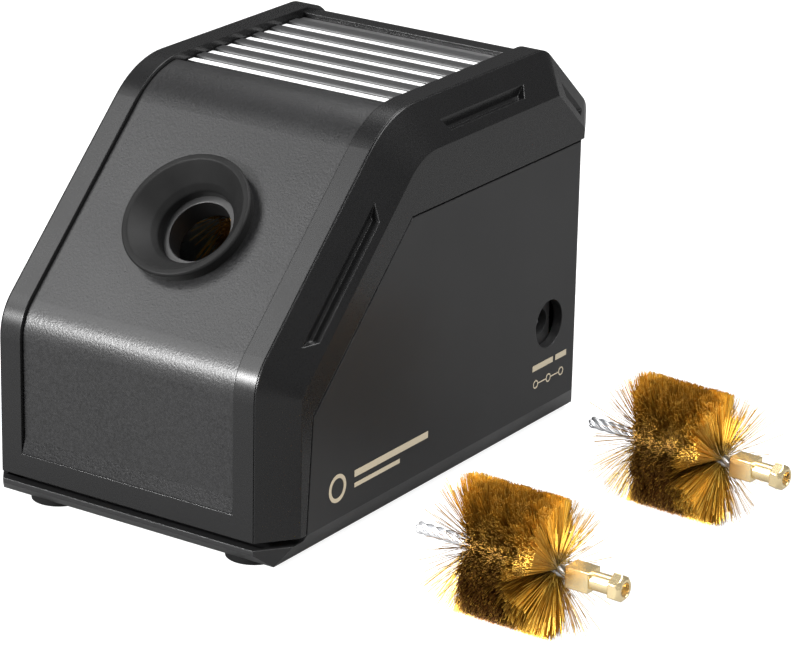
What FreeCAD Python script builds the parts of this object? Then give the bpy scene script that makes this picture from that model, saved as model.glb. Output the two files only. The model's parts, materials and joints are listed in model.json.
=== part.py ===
import FreeCAD, Part
import math
import os
import re

import Sketcher
from FreeCAD import Placement, Rotation, Vector

# Powered cleaner for soldering tips. A tip goes in at the rubber mouth of the sloping front,
# between two brass wire brushes that turn against each other. The whole hood lifts off the base,
# and two spare brushes lie beside the machine. Millimetres, +Z up, +Y to the rear. The origin is
# on the bench, midway between the feet.

doc = FreeCAD.newDocument("TipCleaner")
sheet = doc.addObject("Spreadsheet::Sheet", "dims")

DIMENSIONS = {
    # housing as a whole
    "half_width": 44,
    "front_y": -70,
    "rear_y": 70,
    "top_z": 99,
    "wall": 2.5,
    "gap": 0.1,
    "seam_gap": 0.5,
    # how far a cutting tool reaches past what it cuts, well and barely
    "beyond": 10,
    "overrun": 0.5,
    # between a pressed-on part and its shaft
    "press_gap": 0.02,
    # hood outline, seen from the side
    "slope_start_z": 48.4,
    "slope_angle": 44,
    "hood_rear_y": 71.7,
    "rear_top_y": 50.8,
    "rear_angle": 42,
    "hood_bottom_z": 8.5,
    "low_bend": 14,
    "top_bend": 26,
    "rear_bend": 9,
    "rear_low_bend": 5,
    "least_bend": 0.6,
    # bezels: chamfered strips outside the frames
    "bezel_width": 7,
    "bezel_front": 9,
    "bezel_depth": 10,
    "bezel_rear": 12,
    "bezel_wall": 4.4,
    "bezel_rear_wall": 5.2,
    "bezel_overrun": 1,
    "bend_shrink": 4,
    # lugs inside the bezels, which drop behind the base's walls
    "lug_inset": 2.6,
    "lug_thick": 2.3,
    "lug_back": 26,
    "lug_down": 8,
    "lug_long": 10,
    "lug_high": 9.5,
    "lug_step": 0.4,
    "lug_reach": 3.6,
    "lug_lip": 1.2,
    # seam between hood and base, seen from the side
    "seam_low_y": -58.4,
    "seam_high_y": -56.3,
    "seam_drop": 18,
    "seam_rear_z": 74.4,
    # front panel, sunk between the frames
    "panel_half": 30.9,
    "panel_recess": 1,
    "panel_thick": 1.6,
    "flange_half": 33.5,
    "ledge_low_z": 14.2,
    "ledge_high_z": 18,
    # louvred top
    "grille_front_y": -9.4,
    "grille_rear_y": 43.9,
    "grille_floor_z": 96.4,
    "grille_thick": 1.2,
    "louvre_pitch": 7.75,
    "louvre_first_y": -5.3,
    "slat_width": 4.15,
    "slat_rise": 0.8,
    "strip_width": 2.6,
    "strip_thick": 0.4,
    "slot_width": 1,
    "slot_end": 2,
    "strip_inset": 0.3,
    "slat_sink": 0.2,
    "slat_front_bend": 0.6,
    "slat_rear_bend": 0.7,
    # grooves in the bezels
    "groove_wide": 4.2,
    "groove_narrow": 0.8,
    "groove_deep": 1.8,
    "groove_over": 0.6,
    # base
    "base_z": 2,
    "lip_z": 6.6,
    "floor_z": 4.5,
    "side_chamfer": 4,
    "side_chamfer_z": 8.4,
    "end_chamfer_z": 5.4,
    "chamfer_wall": 2,
    "corner_inset": 1,
    "corner_front": 1.6,
    "corner_rear": 1.2,
    "foot_radius": 6.75,
    "foot_x": 29,
    "foot_y": 58.6,
    "foot_stem": 3,
    "foot_short": 0.4,
    "floor_hole_skin": 0.6,
    "tray_left": -24.2,
    "tray_front": -60,
    "tray_wide": 45.4,
    "tray_long": 56,
    "tray_high": 13,
    "tray_wall": 1.4,
    # circuit board
    "board_z": 21.7,
    "board_thick": 1.6,
    "board_left": 6,
    "board_front": 30,
    "board_side": 32,
    "post_left": 9,
    "post_right": 34,
    "post_front": 33,
    "post_rear": 59,
    "post_radius": 3,
    "post_hole_deep": 7.5,
    "board_head_radius": 2.1,
    "board_head_high": 1.5,
    "board_screw_long": 6.5,
    "capacitor_x": 16,
    "capacitor_y": 54,
    "capacitor_radius": 4,
    "capacitor_high": 8.5,
    "switch_x": 13,
    "switch_y": 42,
    "switch_long": 9,
    "switch_wide": 6.6,
    "switch_tab_thick": 0.6,
    "switch_case_inset": 1.5,
    "switch_case_long": 6,
    "switch_case_high": 2.3,
    "logic_x": 21,
    "logic_y": 33,
    "logic_long": 5,
    "logic_wide": 4,
    "logic_high": 1.6,
    "header_x": 7,
    "header_y": 46,
    "header_wide": 5,
    "header_long": 9,
    "header_high": 5.5,
    "header_wall": 1,
    "header_floor": 1.5,
    # power inlet
    "access_y": 45.8,
    "access_z": 29.8,
    "access_radius": 6.2,
    "jack_front": 41.2,
    "jack_long": 14.4,
    "jack_wide": 9,
    "jack_high": 11,
    "jack_bore": 3.15,
    "jack_pin": 1.05,
    "jack_deep": 10,
    "jack_pin_from": 13,
    "jack_pin_long": 12,
    "jack_pin_seat": 4,
    "leaf_from": 8.9,
    "leaf_long": 8.4,
    "leaf_half": 1,
    "leaf_thick": 0.3,
    "leaf_up": 3.2,
    "leaf_seat_up": 2,
    "leaf_seat_high": 2.2,
    # screws: holes they pass through and holes they bite in
    "screw_clear": 1.25,
    "screw_hole": 1.05,
    "screw_radius": 1,
    "head_radius": 2.2,
    "head_high": 1.6,
    "floor_screw_up": 0.9,
    "floor_screw_long": 3.8,
    # mouth
    "mouth_along": 34.8,
    "rim_radius": 16.6,
    "rim_rise": 2.8,
    "rim_inner": 14.9,
    "throat_radius": 9.7,
    "sleeve_bore": 8,
    "rim_draft": 0.6,
    "rim_flat": 0.4,
    "rim_bead": 0.5,
    "rim_edge": 0.3,
    "panel_hole_radius": 12.9,
    "funnel_shoulder": 1.2,
    "funnel_bend_high": 1.6,
    "funnel_bend_low": 3.4,
    "funnel_end": 5.5,
    "funnel_seat": 4.3,
    "sleeve_top": 5.6,
    "sleeve_under": 7,
    "sleeve_end": 11.8,
    "sleeve_flange": 20.3,
    "sleeve_screw_ring": 18,
    "sleeve_pilot": 0.9,
    "sleeve_pilot_end": 6,
    "sleeve_pilot_deep": 3,
    "sleeve_screw_radius": 0.85,
    "sleeve_screw_long": 4,
    "sleeve_screw_from": 7.2,
    "sleeve_head_radius": 2,
    "sleeve_head_high": 1.3,
    "sleeve_head_from": 8.4,
    # brushes
    "nip_depth": 28,
    "brush_centres": 34,
    "tuft_radius": 16.3,
    "tuft_half": 13,
    "tuft_root_half": 9.5,
    "tuft_edge": 0.6,
    "tuft_lip": 1,
    "tuft_round": 0.8,
    "core_radius": 1.5,
    "core_end": 26,
    "core_grip": 4,
    "block_from": 15.5,
    "block_long": 6,
    "block_high": 5,
    "block_wide": 5,
    "neck_long": 5.3,
    "neck_radius": 2.2,
    "hex_long": 3,
    "hex_flats": 5.8,
    "hex_end_radius": 2.3,
    "end_hole_radius": 1.7,
    "end_hole_deep": 2.2,
    "brush_x": 1,
    # gears
    "gear_module": 1,
    "brush_teeth": 34,
    "idler_teeth": 24,
    "pinion_teeth": 14,
    "addendum": 0.8,
    "dedendum": 1.1,
    "backlash": 0.2,
    "gear_width": 5,
    "gear_x": -35.5,
    "idler_angle": -20,
    "motor_angle": -40,
    "sensor_depth": 16,
    "lamp_radius": 2.5,
    "lamp_long": 9,
    # gearbox
    "outer_plate_x": -40.5,
    "inner_plate_x": -29,
    "plate_thick": 2,
    "plate_front": -54,
    "plate_rear": 40,
    "plate_rear_z": 61,
    "plate_top_y": 12,
    "outer_plate_low_z": 46,
    "outer_plate_top_y": -23,
    "outer_plate_top_z": 76,
    "inner_plate_low_z": 52.5,
    "inner_plate_top_y": -27,
    "inner_plate_top_z": 78.5,
    "tab_long": 9,
    "tab_half": 5,
    "spacer_radius": 3,
    "spacer_tip": 1.5,
    "spacer_bore": 1.2,
    "spacer_bore_deep": 7,
    "gearbox_screw_radius": 1.15,
    "gearbox_screw_grip": 6,
    "bracket_x": 22,
    "bracket_rear": -4,
    "flange_front": -52,
    "flange_deep": 12,
    "flange_wide": 46,
    "cup_radius": 5,
    "journal_radius": 2.5,
    "journal_long": 5.2,
    "journal_bush": 1.5,
    "cup_bush": 2,
    "socket_spare": 0.3,
    "running": 0.05,
    "motor_radius": 14,
    "motor_long": 36,
    "can_short": 3,
    "can_wall": 1,
    "boss_radius": 5,
    "cap_thick": 2.5,
    "cap_boss_radius": 4,
    "cap_boss_long": 4,
    "magnet_from": 5,
    "magnet_long": 22,
    "magnet_thick": 2.1,
    "magnet_split": 5,
    "armature_from": 6,
    "armature_long": 20,
    "armature_radius": 10,
    "shaft_tip": 1,
    "shaft_extra": 9.2,
    "shaft_radius": 1.15,
    "idler_pin_radius": 2,
    # spare brushes beside the machine
    "spare_front_x": 97.8,
    "spare_front_y": -55.2,
    "spare_front_turn": -2,
    "spare_rear_x": 95.7,
    "spare_rear_y": 23,
    "spare_rear_turn": -3.5,
}
for row, (alias, value) in enumerate(DIMENSIONS.items(), 1):
    sheet.set(f"A{row}", alias)
    sheet.set(f"B{row}", str(value))
    sheet.setAlias(f"B{row}", alias)
doc.recompute()

ABOUT_X = Rotation(Vector(0, 1, 0), 90)
SIDE_PLANE = Rotation(Vector(1, 1, 1), 120)
FRONT_PLANE = Rotation(Vector(1, 0, 0), 90)
PLAN = Rotation()
STRIPS = 7
TOUCHING = 1e-6
GROOVE_TAPER = 0.8
SLEEVE_SCREWS = 3
NODES = []

SIN = "sin(slope_angle * 1 deg)"
COS = "cos(slope_angle * 1 deg)"
REAR_SIN = "sin(rear_angle * 1 deg)"
REAR_COS = "cos(rear_angle * 1 deg)"
REAR_HALF_TAN = "tan(rear_angle * 0.5 deg)"


def rule(text):
    """An expression for FreeCAD, from one written with the sheet's words alone."""
    return re.sub(r"[a-z][a-z_]*", lambda w: f"dims.{w[0]}" if w[0] in DIMENSIONS else w[0], str(text))


def size(text):
    """The present value of an expression, as a plain number."""
    value = sheet.evalExpression(rule(text))
    return float(getattr(value, "Value", value))


def bind(item, **rules):
    for name, text in rules.items():
        item.setExpression(name, rule(text))
    return item


def put(item, at=("0", "0", "0"), turn=PLAN):
    item.Placement = Placement(Vector(), turn)
    for axis, text in zip("xyz", at):
        item.setExpression(f"Placement.Base.{axis}", rule(text))
    return item


def node(item, name):
    item.Label = name
    NODES.append(item)
    return item


def box(name, at, sides):
    item = doc.addObject("Part::Box", name)
    bind(item, Length=sides[0], Width=sides[1], Height=sides[2])
    return put(item, at)


def rod(name, radius, length, at, turn=PLAN):
    item = doc.addObject("Part::Cylinder", name)
    bind(item, Radius=radius, Height=length)
    return put(item, at, turn)


def cut(name, base, *tools):
    item = doc.addObject("Part::Cut", name)
    item.Base = base
    item.Tool = tools[0] if len(tools) == 1 else join(name + "_tools", *tools)
    item.Refine = True
    return item


def join(name, *items):
    item = doc.addObject("Part::MultiFuse", name)
    item.Shapes = list(items)
    item.Refine = True
    return item


def group(name, *items):
    item = doc.addObject("Part::Compound", name)
    item.Links = list(items)
    return item


def meet(name, base, tool):
    item = doc.addObject("Part::Common", name)
    item.Base = base
    item.Tool = tool
    return item


def rounded_corner(before, corner, after, radius):
    """Start, middle and end of the arc that rounds one corner."""
    back = (before - corner).normalize()
    ahead = (after - corner).normalize()
    half = back.getAngle(ahead) / 2
    start = corner + back * (radius / math.tan(half))
    end = corner + ahead * (radius / math.tan(half))
    centre = corner + (back + ahead).normalize() * (radius / math.sin(half))
    middle = centre + (corner - centre).normalize() * radius
    return start, middle, end


def outline(name, corners, at=("0", "0", "0"), turn=PLAN):
    """A closed sketch whose corners, each (x, y) or (x, y, radius), follow the sheet."""
    sketch = put(doc.addObject("Sketcher::SketchObject", name), at, turn)
    count = len(corners)
    points = [Vector(size(c[0]), size(c[1]), 0) for c in corners]
    if sum(points[i - 1].cross(points[i]).z for i in range(count)) < 0:
        corners = corners[::-1]
        points = points[::-1]
    radii = [size(c[2]) if len(c) > 2 else 0 for c in corners]
    rounds = {}
    for i in range(count):
        if radii[i]:
            rounds[i] = rounded_corner(points[i - 1], points[i], points[(i + 1) % count], radii[i])
        sketch.addGeometry(Part.LineSegment(points[i], points[(i + 1) % count]), True)
    rules = []
    for i in range(count):
        rules.append(Sketcher.Constraint("Coincident", i, 2, (i + 1) % count, 1))
        for kind, where, letter in (("DistanceX", points[i].x, "x"), ("DistanceY", points[i].y, "y")):
            place = Sketcher.Constraint(kind, -1, 1, i, 1, where)
            place.Name = f"{letter}{i}"
            rules.append(place)
    sides = []
    for i in range(count):
        after = (i + 1) % count
        start = rounds[i][2] if i in rounds else points[i]
        end = rounds[after][0] if after in rounds else points[after]
        sides.append(sketch.addGeometry(Part.LineSegment(start, end), False))
    for i in range(count):
        if i not in rounds:
            rules.append(Sketcher.Constraint("Coincident", sides[i - 1], 2, i, 1))
            rules.append(Sketcher.Constraint("Coincident", sides[i], 1, i, 1))
            continue
        arc = sketch.addGeometry(Part.Arc(*rounds[i]), False)
        first = 1 if sketch.Geometry[arc].StartPoint.isEqual(rounds[i][0], TOUCHING) else 2
        rules.append(Sketcher.Constraint("Tangent", sides[i - 1], 2, arc, first))
        rules.append(Sketcher.Constraint("Tangent", sides[i], 1, arc, 3 - first))
        rules.append(Sketcher.Constraint("PointOnObject", sides[i - 1], 2, (i - 1) % count))
        rules.append(Sketcher.Constraint("PointOnObject", sides[i], 1, i))
        bend = Sketcher.Constraint("Radius", arc, radii[i])
        bend.Name = f"bend{i}"
        rules.append(bend)
    sketch.addConstraint(rules)
    for i, corner in enumerate(corners):
        bind(sketch, **{f"Constraints.x{i}": corner[0], f"Constraints.y{i}": corner[1]})
        if i in rounds:
            bind(sketch, **{f"Constraints.bend{i}": corner[2]})
    return sketch


def extrude(name, sketch, length, both_ways=False):
    item = doc.addObject("Part::Extrusion", name)
    item.Base = sketch
    item.DirMode = "Normal"
    item.Solid = True
    item.Symmetric = both_ways
    return bind(item, LengthFwd=length)


def loft(name, *sketches):
    item = doc.addObject("Part::Loft", name)
    item.Sections = list(sketches)
    item.Solid = True
    item.Ruled = True
    return item


def turned(name, corners, at, turn):
    """A ring turned from a section given as (radius, height) corners, about its own z axis."""
    section = outline(name + "_section", corners, ("0", "0", "0"), FRONT_PLANE)
    item = doc.addObject("Part::Revolution", name)
    item.Source = section
    item.Axis = Vector(0, 0, 1)
    item.Angle = 360
    item.Solid = True
    return put(item, at, turn)


def mirrored(name, item):
    copy = doc.addObject("Part::Mirroring", name)
    copy.Source = item
    copy.Normal = Vector(1, 0, 0)
    return copy


# ---- hood outline -------------------------------------------------------------------------

def hood_corners(front, depth, rear, shrink):
    """The hood's side outline, moved in by front, depth (slope and top) and rear."""
    low, high, back, under = [f"max({bend} - ({shrink}); least_bend)" for bend in
                              ("low_bend", "top_bend", "rear_bend", "rear_low_bend")]
    slope_z = f"slope_start_z + (({front}) * {SIN} - ({depth})) / {COS}"
    top_y = f"front_y + ((top_z - ({depth}) - slope_start_z) * {COS} + ({depth})) / {SIN}"
    back_y = f"rear_top_y - ({depth}) * {REAR_HALF_TAN}"
    drop = f"(({depth}) + (hood_rear_y - ({rear}) - rear_top_y) * {REAR_SIN}) / {REAR_COS}"
    return [
        (f"front_y + ({front})", "hood_bottom_z"),
        (f"front_y + ({front})", slope_z, low),
        (top_y, f"top_z - ({depth})", high),
        (back_y, f"top_z - ({depth})", back),
        (f"hood_rear_y - ({rear})", f"top_z - {drop}", under),
        (f"hood_rear_y - ({rear})", "hood_bottom_z"),
    ]


def hood_layer(name, inset, half):
    """A solid with the hood's outline moved in by inset, reaching half to each side."""
    sketch = outline(name + "_outline", hood_corners(inset, inset, inset, inset), turn=SIDE_PLANE)
    return extrude(name, sketch, f"2 * ({half})", both_ways=True)


def below_seam(name, gap):
    """Everything under the seam between hood and base; gap moves it out of the base."""
    drop = f"(seam_drop - ({gap}))"
    high_z = f"slope_start_z + ((seam_high_y - front_y) * {SIN} - {drop}) / {COS}"
    rear_turn_y = f"front_y + ((seam_rear_z + ({gap}) - slope_start_z) * {COS} + {drop}) / {SIN}"
    corners = [
        (f"seam_low_y - ({gap})", "-beyond"),
        (f"seam_low_y - ({gap})", "hood_bottom_z"),
        (f"seam_high_y - ({gap})", high_z),
        (rear_turn_y, f"seam_rear_z + ({gap})"),
        ("rear_y + beyond", f"seam_rear_z + ({gap})"),
        ("rear_y + beyond", "-beyond"),
    ]
    side_view = outline(name + "_outline", corners, turn=SIDE_PLANE)
    return extrude(name, side_view, "2 * (half_width + beyond)", both_ways=True)


# Grooves in each bezel: the edge of the outline they follow, counted from the front corner, their
# start and end as shares of it, how far down the chamfer, their slant and the valley's shift.
GROOVES = [
    ("slope", 1, 0.165, 0.728, 0.68, 4.2, 0.2),
    ("top", 2, 0.228, 0.784, 0.615, 2.8, 0.9),
    ("rear", 3, 0.25, 0.8, 0.6, 2.8, 0.4),
]


# ---- slope frame: its origin is the mouth's centre on the frames' plane ------------------

SLOPE_TURN = Rotation(Vector(1, 0, 0), size("slope_angle"))
MOUTH = ("0", f"front_y + mouth_along * {COS}", f"slope_start_z + mouth_along * {SIN}")


def on_slope(across, along, out):
    """A point given across the machine, up the slope from the mouth, and out of it."""
    return (
        f"{across}",
        f"{MOUTH[1]} + ({along}) * {COS} - ({out}) * {SIN}",
        f"{MOUTH[2]} + ({along}) * {SIN} + ({out}) * {COS}",
    )


UPPER = on_slope("brush_x", "brush_centres / 2", "-nip_depth")
LOWER = on_slope("brush_x", "-brush_centres / 2", "-nip_depth")
IDLER_REACH = "gear_module * (brush_teeth + idler_teeth) / 2"
MOTOR_REACH = "gear_module * (idler_teeth + pinion_teeth) / 2"
IDLER = (
    "0",
    f"{UPPER[1]} + {IDLER_REACH} * cos(idler_angle * 1 deg)",
    f"{UPPER[2]} + {IDLER_REACH} * sin(idler_angle * 1 deg)",
)
MOTOR = (
    "0",
    f"{IDLER[1]} + {MOTOR_REACH} * cos(motor_angle * 1 deg)",
    f"{IDLER[2]} + {MOTOR_REACH} * sin(motor_angle * 1 deg)",
)
SENSOR = on_slope("0", "0", "-sensor_depth")


def beside(point, x):
    """The same point seen from the side, at another x."""
    return (x, point[1], point[2])


# ---- hood ---------------------------------------------------------------------------------

def make_hood_shell():
    """Two side frames and a strip under the front panel, with a sunk panel across the rear."""
    frames = cut(
        "shell_frames",
        hood_layer("shell_outside", "0", "half_width - bezel_width - gap"),
        hood_layer("shell_inside", "wall", "half_width"),
        box(
            "shell_window",
            ("-panel_half - 2 * gap", "front_y - beyond", "ledge_low_z"),
            ("2 * (panel_half + 2 * gap)", "rear_y - front_y + 2 * beyond", "top_z"),
        ),
    )
    rear = meet(
        "shell_rear",
        cut(
            "shell_rear_layer",
            hood_layer("shell_rear_outside", "panel_recess", "half_width - bezel_width - gap"),
            hood_layer("shell_rear_inside", "panel_recess + wall", "half_width"),
        ),
        box(
            "shell_rear_extent",
            ("-half_width", "grille_rear_y + gap", "seam_rear_z"),
            ("2 * half_width", "rear_y", "top_z"),
        ),
    )
    return node(cut("shell", join("shell_whole", frames, rear), below_seam("shell_under", "seam_gap")),
                "hood_shell")


def groove(name, start, end, outward, slant, valley):
    """A V groove in a bezel face: its inner edge runs from start to end, its outer is shorter by
    slant at both ends, and its valley lies off the middle by valley, towards the outer edge."""
    along = (end - start).normalize()
    across = outward.cross(along)
    if across.x < 0:
        across = across * -1
        along = along * -1
        start, end = end, start
    length = (end - start).Length
    half_wide = size("groove_wide") / 2
    half_narrow = size("groove_narrow") / 2

    def level(height, half, shift, near, far):
        corners = [
            Vector(near, shift - half, height),
            Vector(length - near, shift - half, height),
            Vector(length - far, shift + half, height),
            Vector(far, shift + half, height),
        ]
        return Part.makePolygon(corners + corners[:1])

    top = level(size("groove_over"), half_wide, 0, 0, slant)
    bottom = level(-size("groove_deep"), half_narrow, valley, slant * GROOVE_TAPER, slant)
    item = doc.addObject("Part::Feature", name)
    item.Shape = Part.makeLoft([top, bottom], True, True)
    item.Placement = Placement(start, Rotation(along, across, outward, "ZXY"))
    return item


def make_bezels():
    edge = "half_width - bezel_width + gap"
    lean = "(bezel_width - wall) / bezel_width"
    outside = loft(
        "bezel_outside",
        outline("bezel_mid", hood_corners("0", "0", "0", "0"), (edge, "0", "0"), SIDE_PLANE),
        outline(
            "bezel_side",
            hood_corners("bezel_front", "bezel_depth", "bezel_rear", "bezel_depth"),
            ("half_width", "0", "0"),
            SIDE_PLANE,
        ),
    )
    inside = loft(
        "bezel_inside",
        outline(
            "bezel_mid_inner",
            hood_corners("bezel_wall", "bezel_wall", "bezel_rear_wall", "bezel_wall"),
            ("half_width - bezel_width - bezel_overrun", "0", "0"),
            SIDE_PLANE,
        ),
        outline(
            "bezel_side_inner",
            hood_corners(
                f"bezel_front * {lean} + bezel_wall",
                f"bezel_depth * {lean} + bezel_wall",
                f"bezel_rear * {lean} + bezel_rear_wall",
                "bezel_depth + bend_shrink",
            ),
            ("half_width - wall", "0", "0"),
            SIDE_PLANE,
        ),
    )
    lug_low = box(
        "lug_low",
        ("half_width - wall - lug_inset", "rear_y - lug_back", "seam_rear_z - lug_down"),
        ("lug_thick", "lug_long", "lug_high"),
    )
    lug_high = box(
        "lug_high",
        ("half_width - wall - lug_inset", "rear_y - lug_back", "seam_rear_z + seam_gap + lug_step"),
        ("lug_reach", "lug_long", "lug_lip"),
    )
    mid = [Vector(size(edge), size(c[0]), size(c[1])) for c in hood_corners("0", "0", "0", "0")]
    side = [
        Vector(size("half_width"), size(c[0]), size(c[1]))
        for c in hood_corners("bezel_front", "bezel_depth", "bezel_rear", "bezel_depth")
    ]
    grooves = []
    for name, first, start, end, down, slant, valley in GROOVES:
        run = mid[first + 1] - mid[first]
        fall = side[first] - mid[first]
        outward = run.cross(fall).normalize()
        if outward.x < 0:
            outward = outward * -1
        square_fall = fall - run * (fall.dot(run) / run.dot(run))
        corner = mid[first] + square_fall * down
        grooves.append(
            groove(f"{name}_groove", corner + run * start, corner + run * end, outward, slant, valley)
        )
    shell = cut("bezel_shell", outside, inside, below_seam("bezel_under", "seam_gap"), *grooves)
    right = join("bezel_right", shell, lug_low, lug_high)
    node(right, "right_bezel")
    node(mirrored("bezel_left", right), "left_bezel")


def make_front_panel():
    face = cut(
        "panel_face",
        hood_layer("panel_face_outside", "panel_recess", "panel_half"),
        hood_layer("panel_face_inside", "panel_recess + panel_thick + gap", "half_width"),
    )
    flange = cut(
        "panel_flange",
        hood_layer("panel_flange_outside", "wall + gap", "flange_half"),
        hood_layer("panel_flange_inside", "wall + gap + panel_thick", "half_width"),
    )
    keep = box(
        "panel_extent",
        ("-half_width", "front_y", "ledge_low_z + gap"),
        ("2 * half_width", "grille_front_y - gap - front_y", "top_z"),
    )
    ledge = extrude(
        "panel_ledge",
        outline(
            "panel_ledge_outline",
            [
                ("front_y", "ledge_low_z + gap"),
                ("front_y + panel_recess + panel_thick", "ledge_low_z + gap"),
                ("front_y + panel_recess + panel_thick", "ledge_high_z"),
                ("front_y + panel_recess", "ledge_high_z"),
            ],
            turn=SIDE_PLANE,
        ),
        "2 * panel_half",
        both_ways=True,
    )
    skin = meet("panel_sheet", join("panel_layers", face, flange), keep)
    hole = rod("panel_hole", "panel_hole_radius", "2 * beyond", on_slope("0", "0", "-beyond"), SLOPE_TURN)
    screws = [
        rod(f"panel_screw_hole_{i}", "sleeve_pilot", "sleeve_pilot_deep",
            sleeve_screw_place(i, "-sleeve_pilot_end"), SLOPE_TURN)
        for i in range(SLEEVE_SCREWS)
    ]
    return node(cut("front_panel", join("panel_whole", skin, ledge), hole, *screws), "front_panel")


def sleeve_screw_place(index, out):
    """A point out of the slope on one of the screws' axes; the first screw is above the mouth."""
    angle = 90 + 360 / SLEEVE_SCREWS * index
    return on_slope(f"sleeve_screw_ring * cos({angle} deg)", f"sleeve_screw_ring * sin({angle} deg)", out)


def make_mouth():
    panel_out = "-panel_recess"
    funnel = turned(
        "funnel",
        [
            ("rim_radius - rim_draft", panel_out),
            ("rim_radius", "rim_rise - rim_draft", "rim_bead"),
            ("rim_radius - rim_flat", "rim_rise", "rim_edge"),
            ("rim_inner", "rim_rise", "rim_flat"),
            ("throat_radius + funnel_shoulder", "-funnel_bend_high", "2 * funnel_shoulder"),
            ("throat_radius", "-funnel_bend_low", "funnel_shoulder"),
            ("throat_radius", "-funnel_end"),
            ("rim_inner + gap", "-funnel_end"),
            ("rim_inner + gap", "-funnel_seat"),
            ("panel_hole_radius - gap", "-funnel_seat"),
            ("panel_hole_radius - gap", panel_out),
        ],
        MOUTH,
        SLOPE_TURN,
    )
    node(funnel, "mouth_funnel")
    sleeve = turned(
        "sleeve",
        [
            ("sleeve_bore", "-sleeve_top"),
            ("sleeve_flange", "-sleeve_top"),
            ("sleeve_flange", "-sleeve_under"),
            ("throat_radius", "-sleeve_under"),
            ("throat_radius", "-sleeve_end"),
            ("sleeve_bore", "-sleeve_end"),
        ],
        MOUTH,
        SLOPE_TURN,
    )
    holes = [
        rod(f"sleeve_hole_{i}", "screw_clear", "beyond", sleeve_screw_place(i, "-beyond"), SLOPE_TURN)
        for i in range(SLEEVE_SCREWS)
    ]
    node(cut("sleeve_drilled", sleeve, *holes), "guide_sleeve")
    screws = []
    for i in range(SLEEVE_SCREWS):
        head = rod(f"sleeve_head_{i}", "sleeve_head_radius", "sleeve_head_high",
                   sleeve_screw_place(i, "-sleeve_head_from"), SLOPE_TURN)
        shank = rod(f"sleeve_shank_{i}", "sleeve_screw_radius", "sleeve_screw_long",
                    sleeve_screw_place(i, "-sleeve_screw_from"), SLOPE_TURN)
        screws.append(join(f"sleeve_screw_{i}", head, shank))
    node(group("sleeve_screws", *screws), "sleeve_screws")


def make_louvres():
    """Bright strips with a raised slat between each two, and a vent slot in front of each slat."""
    floor = box(
        "grille_floor",
        ("-panel_half", "grille_front_y", "grille_floor_z - grille_thick"),
        ("2 * panel_half", "grille_rear_y - grille_front_y", "grille_thick"),
    )
    strips = []
    for i in range(STRIPS):
        front = f"louvre_first_y + {i} * louvre_pitch"
        strips.append(
            box(
                f"strip_{i}",
                ("-panel_half + strip_inset", f"{front} + press_gap", "grille_floor_z"),
                ("2 * (panel_half - strip_inset)", "strip_width - 2 * press_gap", "strip_thick"),
            )
        )
    slats = []
    slots = []
    for i in range(STRIPS - 1):
        slot_front = f"louvre_first_y + {i} * louvre_pitch + strip_width"
        section = outline(
            f"slat_section_{i}",
            [
                ("0", "-slat_sink"),
                ("slat_width", "-slat_sink"),
                ("slat_width", "slat_rise", "slat_rear_bend"),
                ("0", "slat_rise", "slat_front_bend"),
            ],
            ("0", f"{slot_front} + slot_width", "grille_floor_z"),
            SIDE_PLANE,
        )
        slats.append(extrude(f"slat_{i}", section, "2 * (panel_half - slat_sink)", both_ways=True))
        slots.append(
            box(
                f"vent_slot_{i}",
                ("-panel_half + slot_end", slot_front, "grille_floor_z - 2 * grille_thick"),
                ("2 * (panel_half - slot_end)", "slot_width", "3 * grille_thick"),
            )
        )
    node(join("grille", cut("grille_slotted", floor, *slots), *slats), "louvre_grille")
    node(group("strips", *strips), "louvre_trim_strips")


# ---- base ---------------------------------------------------------------------------------

BOARD_POSTS = [(x, y) for y in ("post_front", "post_rear") for x in ("post_left", "post_right")]
PLATE_FEET_Y = ("-38", "16")
BRACKET_FEET_Y = ("-44", "-12")


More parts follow.
